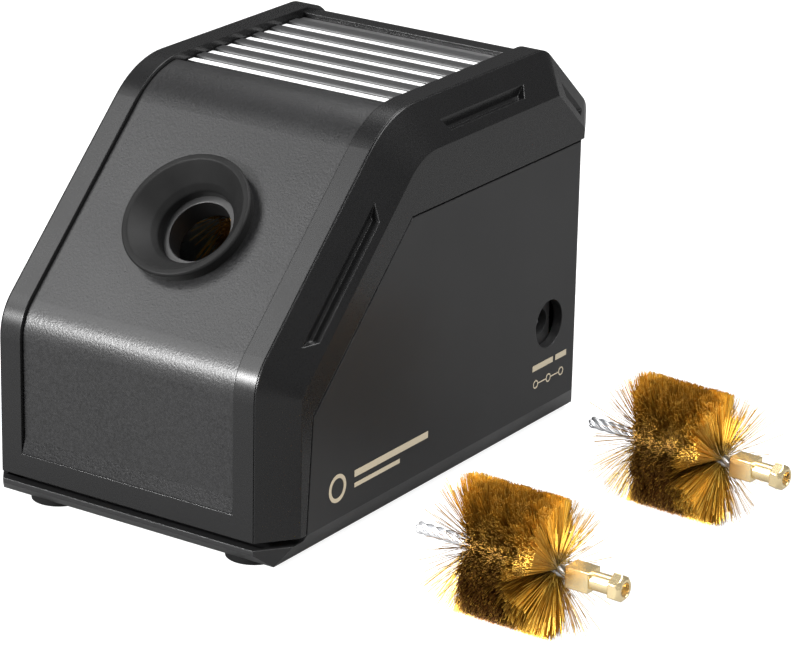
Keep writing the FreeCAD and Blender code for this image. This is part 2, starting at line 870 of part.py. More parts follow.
def make_lower_housing():
    plan = outline(
        "base_plan",
        [
            ("-half_width + bezel_width", "front_y"),
            ("half_width - bezel_width", "front_y"),
            ("half_width", "front_y + bezel_front"),
            ("half_width", "rear_y - bezel_rear"),
            ("half_width - bezel_width", "rear_y"),
            ("-half_width + bezel_width", "rear_y"),
            ("-half_width", "rear_y - bezel_rear"),
            ("-half_width", "front_y + bezel_front"),
        ],
        ("0", "0", "base_z"),
    )
    block = extrude("base_block", plan, "seam_rear_z")
    lip = box(
        "base_lip",
        ("-half_width", "front_y", "base_z"),
        ("2 * half_width", "rear_y - front_y", "lip_z - base_z"),
    )
    sides = meet("base_outside", block, join("base_extent", lip, below_seam("base_under", "0")))
    inner_plan = outline(
        "base_inner_plan",
        [
            ("-half_width + bezel_width + corner_inset", "front_y + wall"),
            ("half_width - bezel_width - corner_inset", "front_y + wall"),
            ("half_width - wall", "front_y + bezel_front + corner_front"),
            ("half_width - wall", "rear_y - bezel_rear - corner_rear"),
            ("half_width - bezel_width - corner_inset", "rear_y - wall"),
            ("-half_width + bezel_width + corner_inset", "rear_y - wall"),
            ("-half_width + wall", "rear_y - bezel_rear - corner_rear"),
            ("-half_width + wall", "front_y + bezel_front + corner_front"),
        ],
        ("0", "0", "side_chamfer_z + chamfer_wall"),
    )
    hollow = extrude("base_hollow", inner_plan, "seam_rear_z")
    low_hollow = box(
        "base_low_hollow",
        ("-half_width + side_chamfer + chamfer_wall", "front_y + wall", "floor_z"),
        ("2 * (half_width - side_chamfer - chamfer_wall)", "rear_y - front_y - 2 * wall", "side_chamfer_z"),
    )
    chamfers = []
    for side, sign in (("right", ""), ("left", "-")):
        section = outline(
            f"{side}_chamfer_outline",
            [
                (f"{sign}(half_width - side_chamfer)", "base_z"),
                (f"{sign}half_width", "side_chamfer_z"),
                (f"{sign}(half_width + beyond)", "side_chamfer_z"),
                (f"{sign}(half_width + beyond)", "base_z - beyond"),
                (f"{sign}(half_width - side_chamfer)", "base_z - beyond"),
            ],
            turn=FRONT_PLANE,
        )
        chamfers.append(extrude(f"{side}_chamfer", section, "2 * (rear_y + beyond)", both_ways=True))
    for end, edge, sign in (("front", "front_y", "-"), ("rear", "rear_y", "+")):
        inward = "+" if sign == "-" else "-"
        section = outline(
            f"{end}_chamfer_outline",
            [
                (f"{edge} {inward} side_chamfer", "base_z"),
                (edge, "end_chamfer_z"),
                (f"{edge} {sign} beyond", "end_chamfer_z"),
                (f"{edge} {sign} beyond", "base_z - beyond"),
                (f"{edge} {inward} side_chamfer", "base_z - beyond"),
            ],
            turn=SIDE_PLANE,
        )
        chamfers.append(extrude(f"{end}_chamfer", section, "2 * (rear_y + beyond)", both_ways=True))
    posts = [
        rod(f"board_post_{i}", "post_radius", "board_z - floor_z + overrun", (x, y, "floor_z - overrun"))
        for i, (x, y) in enumerate(BOARD_POSTS)
    ]
    post_holes = [
        rod(f"board_post_hole_{i}", "screw_hole", "post_hole_deep + overrun",
            (x, y, "board_z - post_hole_deep"))
        for i, (x, y) in enumerate(BOARD_POSTS)
    ]
    screw_holes = [
        rod(f"floor_screw_hole_{i}", "screw_hole", "wall", (x, y, "base_z + floor_hole_skin"))
        for i, (x, y) in enumerate(FLOOR_SCREWS)
    ]
    stems = [
        rod(f"foot_hole_{i}", "foot_stem + gap", "wall + 2 * overrun", (x, y, "base_z - overrun"))
        for i, (x, y) in enumerate(FEET)
    ]
    access = rod("access_hole", "access_radius", "beyond",
                 ("half_width - wall - overrun", "access_y", "access_z"), ABOUT_X)
    body = cut("base_shell", sides, hollow, low_hollow, *chamfers)
    with_posts = join("base_with_posts", body, *posts)
    return node(
        cut("base_drilled", with_posts, access, *post_holes, *screw_holes, *stems), "lower_housing"
    )


FEET = [("foot_x", "foot_y"), ("-foot_x", "foot_y"), ("foot_x", "-foot_y"), ("-foot_x", "-foot_y")]
FLOOR_SCREWS = [("inner_plate_x - 5", y) for y in PLATE_FEET_Y]
FLOOR_SCREWS += [("bracket_x + 7", y) for y in BRACKET_FEET_Y]


def make_feet():
    feet = []
    for i, (x, y) in enumerate(FEET):
        pad = rod(f"foot_pad_{i}", "foot_radius", "base_z", (x, y, "0"))
        stem = rod(f"foot_stem_{i}", "foot_stem", "base_z + wall - foot_short", (x, y, "0"))
        feet.append(join(f"foot_{i}", pad, stem))
    node(group("feet", *feet), "rubber_feet")


def make_residue_tray():
    outside = box(
        "tray_outside",
        ("tray_left", "tray_front", "floor_z + gap"),
        ("tray_wide", "tray_long", "tray_high"),
    )
    inside = box(
        "tray_inside",
        ("tray_left + tray_wall", "tray_front + tray_wall", "floor_z + gap + tray_wall"),
        ("tray_wide - 2 * tray_wall", "tray_long - 2 * tray_wall", "tray_high"),
    )
    return node(cut("tray", outside, inside), "residue_tray")


# ---- gearbox ------------------------------------------------------------------------------

SPACERS = [("-49", "15"), ("34", "15"), ("36", "57"), ("9", "72")]


def plate(name, x, corners, holes):
    """A plate across the machine; holes are (point, radius)."""
    sketch = outline(name + "_outline", corners, (x, "0", "0"), SIDE_PLANE)
    body = extrude(name + "_body", sketch, "plate_thick")
    drills = [
        rod(f"{name}_hole_{i}", radius, "plate_thick + 2", (f"{x} - 1", point[1], point[2]), ABOUT_X)
        for i, (point, radius) in enumerate(holes)
    ]
    return cut(name + "_drilled", body, *drills)


def make_gearbox_frame():
    bottom = "floor_z + gap"
    above = "side_chamfer_z + chamfer_wall + gap"
    outer = plate(
        "outer_plate",
        "outer_plate_x",
        [
            ("plate_front", above),
            ("plate_front", "outer_plate_low_z"),
            ("outer_plate_top_y", "outer_plate_top_z"),
            ("plate_top_y", "outer_plate_top_z"),
            ("plate_rear", "plate_rear_z"),
            ("plate_rear", above),
        ],
        [
            (UPPER, "journal_radius + journal_bush"),
            (LOWER, "journal_radius + journal_bush"),
            (IDLER, "idler_pin_radius"),
        ]
        + [(("", y, z), "spacer_tip + running") for y, z in SPACERS],
    )
    node(outer, "outer_gear_plate")
    inner = plate(
        "inner_plate",
        "inner_plate_x",
        [
            ("plate_front", bottom),
            ("plate_front", "inner_plate_low_z"),
            ("inner_plate_top_y", "inner_plate_top_z"),
            ("plate_top_y", "inner_plate_top_z"),
            ("plate_rear", "plate_rear_z"),
            ("plate_rear", bottom),
        ],
        [
            (UPPER, "cup_radius + cup_bush"),
            (LOWER, "cup_radius + cup_bush"),
            (IDLER, "idler_pin_radius"),
            (MOTOR, "boss_radius + gap"),
            (SENSOR, "lamp_radius + gap"),
        ]
        + [(("", y, z), "screw_clear") for y, z in SPACERS],
    )
    feet = [
        box(f"plate_foot_{i}", ("inner_plate_x - tab_long", f"{y} - tab_half", bottom),
            ("tab_long + overrun", "2 * tab_half", "plate_thick"))
        for i, y in enumerate(PLATE_FEET_Y)
    ]
    foot_holes = [
        rod(f"plate_foot_hole_{i}", "screw_clear", "beyond", (x, y, "floor_z"))
        for i, (x, y) in enumerate(FLOOR_SCREWS[:2])
    ]
    node(cut("inner_plate_whole", join("inner_plate_feet", inner, *feet), *foot_holes), "inner_gear_plate")

    spacers = []
    screws = []
    for i, (y, z) in enumerate(SPACERS):
        start = "outer_plate_x + plate_thick"
        length = f"inner_plate_x - ({start})"
        sleeve = rod(f"spacer_{i}", "spacer_radius", length, (start, y, z), ABOUT_X)
        tip = rod(f"spacer_tip_{i}", "spacer_tip", "plate_thick", ("outer_plate_x", y, z), ABOUT_X)
        bore = rod(f"spacer_bore_{i}", "spacer_bore", "spacer_bore_deep",
                   ("inner_plate_x - spacer_bore_deep", y, z), ABOUT_X)
        spacers.append(cut(f"spacer_whole_{i}", join(f"spacer_body_{i}", sleeve, tip), bore))
        head = rod(f"gearbox_head_{i}", "head_radius", "head_high",
                   ("inner_plate_x + plate_thick", y, z), ABOUT_X)
        shank = rod(f"gearbox_shank_{i}", "gearbox_screw_radius",
                    "gearbox_screw_grip + plate_thick + overrun",
                    ("inner_plate_x - gearbox_screw_grip", y, z), ABOUT_X)
        screws.append(join(f"gearbox_screw_{i}", head, shank))
    node(group("spacers", *spacers), "gearbox_spacers")
    node(group("gearbox_screws_group", *screws), "gearbox_screws")

    outer_bushes = []
    inner_bushes = []
    for i, point in enumerate((UPPER, LOWER)):
        ring = rod(f"outer_ring_{i}", "journal_radius + journal_bush", "plate_thick",
                   beside(point, "outer_plate_x"), ABOUT_X)
        bore = rod(f"outer_bore_{i}", "journal_radius + running", "plate_thick",
                   beside(point, "outer_plate_x"), ABOUT_X)
        outer_bushes.append(cut(f"outer_bush_{i}", ring, bore))
        ring = rod(f"inner_ring_{i}", "cup_radius + cup_bush", "plate_thick",
                   beside(point, "inner_plate_x"), ABOUT_X)
        bore = rod(f"inner_bore_{i}", "cup_radius + running", "plate_thick", beside(point, "inner_plate_x"),
                   ABOUT_X)
        inner_bushes.append(cut(f"inner_bush_{i}", ring, bore))
    node(group("outer_bushes", *outer_bushes), "outer_bearing_bushes")
    node(group("inner_bushes", *inner_bushes), "inner_bearing_bushes")

    pin = rod("idler_pin", "idler_pin_radius", "inner_plate_x + plate_thick - outer_plate_x",
              beside(IDLER, "outer_plate_x"), ABOUT_X)
    node(pin, "idler_pin")


def make_bearing_bracket():
    bottom = "floor_z + gap"
    sketch = outline(
        "bracket_outline",
        [
            ("plate_front", bottom),
            ("plate_front", "inner_plate_low_z"),
            ("inner_plate_top_y", "inner_plate_top_z"),
            ("bracket_rear", "inner_plate_top_z"),
            ("bracket_rear", bottom),
        ],
        ("bracket_x", "0", "0"),
        SIDE_PLANE,
    )
    body = extrude("bracket_body", sketch, "plate_thick")
    flange = box(
        "bracket_flange",
        ("bracket_x", "flange_front", bottom),
        ("flange_deep", "flange_wide", "plate_thick"),
    )
    groove_radius = "core_radius + running"
    start = "bracket_x - plate_thick"
    through = "3 * plate_thick"
    upper_bore = rod("upper_seat", groove_radius, through, beside(UPPER, start), ABOUT_X)
    upper_slot = box(
        "upper_slot",
        (start, f"{UPPER[1]} - ({groove_radius})", UPPER[2]),
        (through, f"2 * ({groove_radius})", "half_width"),
    )
    lower_bore = rod("lower_seat", groove_radius, through, beside(LOWER, start), ABOUT_X)
    lower_slot = box(
        "lower_slot",
        (start, f"{LOWER[1]} - half_width", f"{LOWER[2]} - ({groove_radius})"),
        (through, "half_width", f"2 * ({groove_radius})"),
    )
    receiver = rod("receiver_hole", "lamp_radius + gap", through, beside(SENSOR, start), ABOUT_X)
    holes = [
        rod(f"bracket_screw_hole_{i}", "screw_clear", "beyond", (x, y, "floor_z"))
        for i, (x, y) in enumerate(FLOOR_SCREWS[2:])
    ]
    solid = join("bracket_solid", body, flange)
    node(
        cut("bracket", solid, upper_bore, upper_slot, lower_bore, lower_slot, receiver, *holes),
        "bearing_bracket",
    )
    screws = []
    for i, (x, y) in enumerate(FLOOR_SCREWS):
        head = rod(f"floor_head_{i}", "head_radius", "head_high", (x, y, "floor_z + gap + plate_thick"))
        shank = rod(f"floor_shank_{i}", "screw_radius", "floor_screw_long",
                    (x, y, "base_z + floor_screw_up"))
        screws.append(join(f"floor_screw_{i}", head, shank))
    node(group("chassis_screws_group", *screws), "chassis_screws")


def make_sensor():
    places = {
        "sensor_emitter": "inner_plate_x - overrun",
        "sensor_receiver": "bracket_x + plate_thick - lamp_long",
    }
    for name, at in places.items():
        barrel = rod(name + "_barrel", "lamp_radius", "lamp_long", beside(SENSOR, at), ABOUT_X)
        dome_x = f"{at} + lamp_long" if name == "sensor_emitter" else at
        dome = doc.addObject("Part::Sphere", name + "_dome")
        bind(dome, Radius="lamp_radius")
        put(dome, beside(SENSOR, dome_x))
        node(join(name + "_lamp", barrel, dome), name)


# ---- gears --------------------------------------------------------------------------------

PRESSURE = math.radians(20)


def gear_blank(teeth, bore, phase):
    """A spur gear's solid about +X, with a tooth at phase, in radians from +Y towards +Z."""
    module = size("gear_module")
    pitch = module * teeth / 2
    base = pitch * math.cos(PRESSURE)
    tip = pitch + module * size("addendum")
    root = pitch - module * size("dedendum")
    half_tooth = math.pi / (2 * teeth) - size("backlash") / (4 * pitch)

    def half_angle(radius):
        """Half of the tooth's angle at a radius: full below the base circle."""
        reach = math.acos(min(1, base / radius))
        return half_tooth + math.tan(PRESSURE) - PRESSURE - (math.tan(reach) - reach)

    def point(radius, angle):
        return Vector(0, radius * math.cos(angle), radius * math.sin(angle))

    foot = max(base, root)
    middle = (foot + tip) / 2
    edges = []
    for i in range(teeth):
        centre = phase + 2 * math.pi * i / teeth
        following = centre + 2 * math.pi / teeth
        rise = [point(r, centre - half_angle(r)) for r in (foot, middle, tip)]
        fall = [point(r, centre + half_angle(r)) for r in (tip, middle, foot)]
        low_right = point(root, centre + half_angle(foot))
        low_next = point(root, following - half_angle(foot))
        between = point(root, centre + math.pi / teeth)
        edges.append(Part.Arc(*rise).toShape())
        edges.append(Part.Arc(rise[2], point(tip, centre), fall[0]).toShape())
        edges.append(Part.Arc(*fall).toShape())
        if foot > root:
            edges.append(Part.LineSegment(fall[2], low_right).toShape())
        edges.append(Part.Arc(low_right, between, low_next).toShape())
        if foot > root:
            edges.append(Part.LineSegment(low_next, point(foot, following - half_angle(foot))).toShape())
    face = Part.Face(Part.Wire(edges))
    solid = face.extrude(Vector(size("gear_width"), 0, 0))
    hole = Part.makeCylinder(bore, size("gear_width"), Vector(), Vector(1, 0, 0))
    return solid.cut(hole)


def gear(name, teeth, bore, centre, phase):
    item = doc.addObject("Part::Feature", name)
    item.Shape = gear_blank(int(size(teeth)), size(bore), phase)
    item.Placement = Placement(Vector(size("gear_x"), size(centre[1]), size(centre[2])), Rotation())
    return item


def meshing_phase(phase, teeth, mate_teeth, direction):
    """The phase of a mate that lies in direction from a gear, with a gap facing each tooth."""
    lead = (direction - phase) * teeth / (2 * math.pi)
    return direction + math.pi - (0.5 - lead) * 2 * math.pi / mate_teeth


def make_gears():
    teeth = int(size("brush_teeth"))
    idler_teeth = int(size("idler_teeth"))
    pinion_teeth = int(size("pinion_teeth"))
    slope = math.radians(size("slope_angle"))
    to_idler = math.radians(size("idler_angle"))
    to_motor = math.radians(size("motor_angle"))
    lower_phase = meshing_phase(0, teeth, teeth, slope + math.pi)
    idler_phase = meshing_phase(0, teeth, idler_teeth, to_idler)
    pinion_phase = meshing_phase(idler_phase, idler_teeth, pinion_teeth, to_motor)
    bore = "cup_radius + press_gap"
    node(gear("upper_gear", "brush_teeth", bore, UPPER, 0), "upper_brush_gear")
    node(gear("lower_gear", "brush_teeth", bore, LOWER, lower_phase), "lower_brush_gear")
    node(gear("idler", "idler_teeth", "idler_pin_radius + running", IDLER, idler_phase), "idler_gear")
    node(gear("pinion", "pinion_teeth", "shaft_radius + press_gap", MOTOR, pinion_phase), "motor_pinion")


def hexagon(name, flats, start_x, length, point):
    """A hexagonal bar along X with two corners up and down."""
    item = doc.addObject("Part::Prism", name)
    item.Polygon = 6
    bind(item, Circumradius=f"({flats}) / sqrt(3)", Height=length)
    return put(item, beside(point, start_x), ABOUT_X)


def make_spindles():
    socket_end = "brush_x - block_from - block_long - neck_long + gap"
    for name, point in (("upper", UPPER), ("lower", LOWER)):
        journal = rod(f"{name}_journal", "journal_radius", "journal_long",
                      beside(point, "outer_plate_x + gap"), ABOUT_X)
        cup = rod(f"{name}_cup", "cup_radius", f"{socket_end} - gear_x", beside(point, "gear_x"), ABOUT_X)
        socket = hexagon(f"{name}_socket", "hex_flats + 2 * gap", f"{socket_end} - hex_long - socket_spare",
                         "hex_long + 2 * overrun", point)
        node(cut(f"{name}_spindle_body", join(f"{name}_spindle_solid", journal, cup), socket),
             f"{name}_drive_spindle")


# ---- motor --------------------------------------------------------------------------------

def make_motor():
    face_x = "inner_plate_x + plate_thick"
    can_long = "(motor_long - can_short)"
    can = cut(
        "can_hollow",
        join(
            "can_solid",
            rod("can_outside", "motor_radius", can_long, beside(MOTOR, face_x), ABOUT_X),
            rod("can_boss", "boss_radius", "plate_thick + 2 * gap",
                beside(MOTOR, "inner_plate_x + 2 * gap"), ABOUT_X),
        ),
        rod("can_inside", "motor_radius - can_wall", can_long,
            beside(MOTOR, f"{face_x} + can_wall"), ABOUT_X),
        rod("can_bore", "shaft_radius + running", "beyond", beside(MOTOR, "inner_plate_x"), ABOUT_X),
    )
    node(can, "motor_can")
    cap_x = f"{face_x} + {can_long}"
    cap = cut(
        "cap_whole",
        join(
            "cap_solid",
            rod("cap_disc", "motor_radius", "cap_thick", beside(MOTOR, cap_x), ABOUT_X),
            rod("cap_boss", "cap_boss_radius", "cap_boss_long", beside(MOTOR, cap_x), ABOUT_X),
        ),
        rod("cap_bore", "shaft_radius + running", "cap_boss_long - overrun",
            beside(MOTOR, f"{cap_x} - overrun"), ABOUT_X),
    )
    node(cap, "motor_end_cap")
    magnet_outside = "motor_radius - can_wall - gap"
    magnet_x = f"{face_x} + magnet_from"
    ring = cut(
        "magnet_ring",
        rod("magnet_outside", magnet_outside, "magnet_long", beside(MOTOR, magnet_x), ABOUT_X),
        rod("magnet_inside", f"{magnet_outside} - magnet_thick", "magnet_long",
            beside(MOTOR, magnet_x), ABOUT_X),
    )
    split = box(
        "magnet_split",
        (face_x, f"{MOTOR[1]} - magnet_split", f"{MOTOR[2]} - motor_radius"),
        ("motor_long", "2 * magnet_split", "2 * motor_radius"),
    )
    node(cut("magnets", ring, split), "motor_magnets")
    shaft = rod("shaft", "shaft_radius", "motor_long + shaft_extra",
                beside(MOTOR, "gear_x - shaft_tip"), ABOUT_X)
    node(shaft, "motor_shaft")
    core = cut(
        "armature_drum",
        rod("armature_core", "armature_radius", "armature_long",
            beside(MOTOR, f"{face_x} + armature_from"), ABOUT_X),
        rod("armature_bore", "shaft_radius + press_gap", "motor_long", beside(MOTOR, face_x), ABOUT_X),
    )
    node(core, "motor_armature")


# ---- electrics ----------------------------------------------------------------------------

def make_electrics():
    board = box(
        "board_blank", ("board_left", "board_front", "board_z"), ("board_side", "board_side", "board_thick")
    )
    holes = [
        rod(f"board_hole_{i}", "screw_clear", "beyond", (x, y, "board_z - overrun"))
        for i, (x, y) in enumerate(BOARD_POSTS)
    ]
    node(cut("board", board, *holes), "control_board")
    top = "board_z + board_thick"
    screws = []
    for i, (x, y) in enumerate(BOARD_POSTS):
        head = rod(f"board_head_{i}", "board_head_radius", "board_head_high", (x, y, top))
        shank = rod(f"board_shank_{i}", "screw_radius", "board_screw_long + gap",
                    (x, y, f"{top} - board_screw_long"))
        screws.append(join(f"board_screw_{i}", head, shank))
    node(group("board_screws_group", *screws), "board_screws")

    jack = box(
        "jack_block",
        ("jack_front - jack_long", "access_y - jack_wide / 2", top),
        ("jack_long", "jack_wide", "jack_high"),
    )
    bore = rod("jack_hollow", "jack_bore", "jack_deep",
               ("jack_front - jack_deep", "access_y", "access_z"), ABOUT_X)
    leaf_seat = box(
        "leaf_seat",
        ("jack_front - leaf_from - gap", "access_y - leaf_half - gap", "access_z + leaf_seat_up"),
        ("leaf_from + 2 * gap", "2 * (leaf_half + gap)", "leaf_seat_high"),
    )
    pin_at = ("jack_front - jack_pin_from", "access_y", "access_z")
    pin_seat = rod("pin_seat", "jack_pin", "jack_pin_seat", pin_at, ABOUT_X)
    node(cut("jack", jack, bore, leaf_seat, pin_seat), "jack_body")
    node(rod("pin", "jack_pin", "jack_pin_long", pin_at, ABOUT_X), "jack_centre_pin")
    leaf = box(
        "leaf",
        ("jack_front - leaf_from", "access_y - leaf_half", "access_z + leaf_up"),
        ("leaf_long", "2 * leaf_half", "leaf_thick"),
    )
    node(leaf, "jack_contact")

    raised = f"{top} + running"
    node(rod("capacitor", "capacitor_radius", "capacitor_high", ("capacitor_x", "capacitor_y", raised)),
         "board_capacitor")
    tab = box(
        "switch_tab",
        ("switch_x", "switch_y", raised),
        ("switch_long", "switch_wide", "switch_tab_thick"),
    )
    case = box(
        "switch_case",
        ("switch_x + switch_case_inset", "switch_y", raised),
        ("switch_case_long", "switch_wide", "switch_case_high"),
    )
    node(join("switch", tab, case), "motor_switch_chip")
    logic = box("logic", ("logic_x", "logic_y", raised), ("logic_long", "logic_wide", "logic_high"))
    node(logic, "logic_chip")
    header = box(
        "header_block",
        ("header_x", "header_y", raised),
        ("header_wide", "header_long", "header_high"),
    )
    mouth = box(
        "header_mouth",
        ("header_x + header_wall", "header_y + header_wall", f"{top} + header_floor"),
        ("header_wide - 2 * header_wall", "header_long - 2 * header_wall", "header_high"),
    )
    node(cut("header", header, mouth), "lead_header")


# ---- brushes ------------------------------------------------------------------------------

def make_brush(prefix, at, turn):
    """A twisted-wire brush along X about its own origin, the tuft's middle, then put in place."""
    origin = ("0", "0", "0")
    core = rod(f"{prefix}_core", "core_radius", "core_end + block_from + core_grip",
               ("-block_from - core_grip", "0", "0"), ABOUT_X)
    tuft_section = outline(
        f"{prefix}_tuft_section",
        [
            ("-tuft_root_half", "core_radius + press_gap"),
            ("tuft_root_half", "core_radius + press_gap"),
            ("tuft_half", "tuft_radius - tuft_edge", "tuft_round"),
            ("tuft_half - tuft_lip", "tuft_radius", "tuft_round"),
            ("-tuft_half + tuft_lip", "tuft_radius", "tuft_round"),
            ("-tuft_half", "tuft_radius - tuft_edge", "tuft_round"),
        ],
        origin,
        FRONT_PLANE,
    )
    tuft = doc.addObject("Part::Revolution", f"{prefix}_tuft")
    tuft.Source = tuft_section
    tuft.Axis = Vector(1, 0, 0)
    tuft.Angle = 360
    tuft.Solid = True
    block = cut(
        f"{prefix}_block_bored",
        box(
            f"{prefix}_block",
            ("-block_from - block_long", "-block_wide / 2", "-block_high / 2"),
            ("block_long", "block_wide", "block_high"),
        ),
        rod(f"{prefix}_block_bore", "core_radius + press_gap", "core_grip + 2 * running",
            ("-block_from - core_grip - running", "0", "0"), ABOUT_X),
    )
    hex_start = "-block_from - block_long - neck_long - hex_long"
    neck = rod(f"{prefix}_neck", "neck_radius", "neck_long",
               ("-block_from - block_long - neck_long", "0", "0"), ABOUT_X)
    cone = doc.addObject("Part::Cone", f"{prefix}_hex_chamfer")
    bind(cone, Radius1="hex_end_radius", Radius2="hex_end_radius + hex_long", Height="hex_long")
    put(cone, (hex_start, "0", "0"), ABOUT_X)
    blank = hexagon(f"{prefix}_hex", "hex_flats", hex_start, "hex_long", origin)
    head = meet(f"{prefix}_head", blank, cone)
    end_hole = rod(f"{prefix}_end_hole", "end_hole_radius", "end_hole_deep", (hex_start, "0", "0"), ABOUT_X)
    shank = cut(f"{prefix}_shank", join(f"{prefix}_shank_solid", neck, head), end_hole)
    pieces = {"core_wire": core, "bristles": tuft, "ferrule_block": block, "hex_shank": shank}
    for name, item in pieces.items():
        holder = group(f"{prefix}_{name}_held", item)
        put(holder, at, turn)
        node(holder, f"{prefix}_{name}")


SPARE_TURN = 180


def make_brushes():
    make_brush("upper_brush", UPPER, Rotation())
    make_brush("lower_brush", LOWER, Rotation())
    for place in ("front", "rear"):
        turn = Rotation(Vector(0, 0, 1), SPARE_TURN + size(f"spare_{place}_turn"))
        at = (f"spare_{place}_x", f"spare_{place}_y", "tuft_radius")
        make_brush(f"{place}_spare", at, turn)


make_hood_shell()
make_bezels()
make_front_panel()
make_mouth()
make_louvres()
make_lower_housing()
make_feet()
make_residue_tray()
make_gearbox_frame()
make_bearing_bracket()
make_sensor()
make_gears()
make_spindles()
make_motor()
make_electrics()
make_brushes()
doc.recompute()

faults = [item.Name for item in doc.Objects if {"Invalid", "Error"} & set(item.State)]
for item in NODES:
    if item.Shape.isNull() or not item.Shape.isValid() or not item.Shape.Solids:
        faults.append(item.Label)
if faults:
    raise SystemExit(f"these did not build: {faults}")
os.makedirs("parts", exist_ok=True)
for item in NODES:
    item.Shape.exportStep(f"parts/{item.Label}.step")
print(len(NODES), "nodes")
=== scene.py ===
"""The looks of the electric tip cleaner: camera, light, floor, materials, bristles, twisted wires
and printed marks."""

import json
import math

import bpy
import numpy as np
from mathutils import Matrix, Vector


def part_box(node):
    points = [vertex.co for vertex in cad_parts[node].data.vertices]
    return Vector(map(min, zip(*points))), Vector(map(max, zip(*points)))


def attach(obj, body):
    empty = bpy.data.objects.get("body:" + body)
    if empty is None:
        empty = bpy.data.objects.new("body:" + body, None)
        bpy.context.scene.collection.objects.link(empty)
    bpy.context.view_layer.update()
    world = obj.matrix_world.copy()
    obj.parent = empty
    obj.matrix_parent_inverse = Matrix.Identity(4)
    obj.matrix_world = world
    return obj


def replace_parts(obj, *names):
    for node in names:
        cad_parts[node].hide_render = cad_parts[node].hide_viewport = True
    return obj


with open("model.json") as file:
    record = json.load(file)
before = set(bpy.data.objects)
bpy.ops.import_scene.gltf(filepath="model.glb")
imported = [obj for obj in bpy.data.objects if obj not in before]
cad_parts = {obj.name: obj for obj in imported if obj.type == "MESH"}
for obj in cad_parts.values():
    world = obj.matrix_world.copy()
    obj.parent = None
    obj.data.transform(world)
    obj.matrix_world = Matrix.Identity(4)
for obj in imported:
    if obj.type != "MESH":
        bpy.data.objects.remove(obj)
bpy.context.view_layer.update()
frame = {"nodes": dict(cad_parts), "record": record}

MM = 0.001
SENSOR = 36.0
IMAGE_WIDTH = 800
SIDES = 3  # sides of a bristle
TUFT_RADIUS = 16.0
THROAT_INSIDE, THROAT_OUTSIDE = 8.6, 10.2  # where the mouth's darkening is full, and where it ends
# where painted shade over the rearmost strip begins, and where it is full, along Y
REAR_STRIP_FROM, REAR_STRIP_FULL = 38, 39  # the rearmost strip's place along Y


# --------------------------------------------------------------------------- node graphs


class Graph:
    """A material's node tree, with one short call for each node."""

    def __init__(self, name):
        self.material = bpy.data.materials.new(name)
        self.material.use_nodes = True
        self.tree = self.material.node_tree
        self.tree.nodes.clear()
        self.shader = self.node("ShaderNodeBsdfPrincipled")
        output = self.node("ShaderNodeOutputMaterial")
        self.tree.links.new(self.shader.outputs[0], output.inputs[0])
        self.place = self.node("ShaderNodeTexCoord").outputs["Object"]

    def node(self, kind, **settings):
        made = self.tree.nodes.new(kind)
        for key, value in settings.items():
            setattr(made, key, value)
        return made

    def feed(self, socket, value):
        if isinstance(value, bpy.types.NodeSocket):
            self.tree.links.new(value, socket)
        else:
            socket.default_value = value

    def set(self, **inputs):
        """Feeds the surface shader's sockets, with _ for a space."""
        for key, value in inputs.items():
            self.feed(self.shader.inputs[key.replace("_", " ")], value)

    def math(self, operation, a, b=0.0):
        made = self.node("ShaderNodeMath", operation=operation)
        for socket, value in zip(made.inputs, (a, b)):
            self.feed(socket, value)
        return made.outputs[0]

    def vector(self, operation, a, b=(0, 0, 0)):
        made = self.node("ShaderNodeVectorMath", operation=operation)
        self.feed(made.inputs[0], a)
        self.feed(made.inputs[1], b)
        return made.outputs["Value"] if operation in ("DOT_PRODUCT", "LENGTH") else made.outputs[0]

    def split(self, place=None):
        made = self.node("ShaderNodeSeparateXYZ")
        self.feed(made.inputs[0], place or self.place)
        return made.outputs

    def join(self, x, y, z):
        made = self.node("ShaderNodeCombineXYZ")
        for socket, value in zip(made.inputs, (x, y, z)):
            self.feed(socket, value)
        return made.outputs[0]

    def noise(self, size, place=None, detail=2.0, rough=0.55, stretch=None):
        """Noise whose blobs are about size millimetres across."""
        place = place or self.place
        if stretch:
            place = self.vector("MULTIPLY", place, stretch)
        made = self.node("ShaderNodeTexNoise")
        self.feed(made.inputs["Vector"], place)
        self.feed(made.inputs["Scale"], 1 / (size * MM))
        self.feed(made.inputs["Detail"], detail)
        self.feed(made.inputs["Roughness"], rough)
        return made.outputs[0]

    def scale(self, value, low, high, start=0.0, end=1.0):
        made = self.node("ShaderNodeMapRange")
        for key, number in (("From Min", start), ("From Max", end), ("To Min", low), ("To Max", high)):
            made.inputs[key].default_value = number
        self.feed(made.inputs["Value"], value)
        return made.outputs[0]

    def blend(self, share, first, second):
        made = self.node("ShaderNodeMix", data_type="RGBA")
        self.feed(made.inputs["Factor"], share)
        for socket, colour in ((made.inputs[6], first), (made.inputs[7], second)):
            self.feed(socket, colour)
        return made.outputs[2]

    def rounded(self, radius):
        """The surface's normal with its edges rounded to radius millimetres."""
        made = self.node("ShaderNodeBevel", samples=6)
        made.inputs["Radius"].default_value = radius * MM
        return made.outputs[0]

    def bump(self, height, depth, normal=None):
        """A normal for a relief depth millimetres deep."""
        made = self.node("ShaderNodeBump")
        self.feed(made.inputs["Distance"], depth * MM)
        self.feed(made.inputs["Height"], height)
        if normal:
            self.feed(made.inputs["Normal"], normal)
        return made.outputs[0]

    def edge(self, rounded):
        """0 on a flat face, up to about 1 along an edge."""
        flat = self.node("ShaderNodeNewGeometry").outputs["Normal"]
        turn = self.math("SUBTRACT", 1.0, self.vector("DOT_PRODUCT", rounded, flat))
        return self.math("MINIMUM", self.math("MULTIPLY", turn, 4.0), 1.0)


def rgb(red, green, blue):
    return (red, green, blue, 1.0)


def grey(level, tint=1.0):
    return rgb(level, level, level * tint)


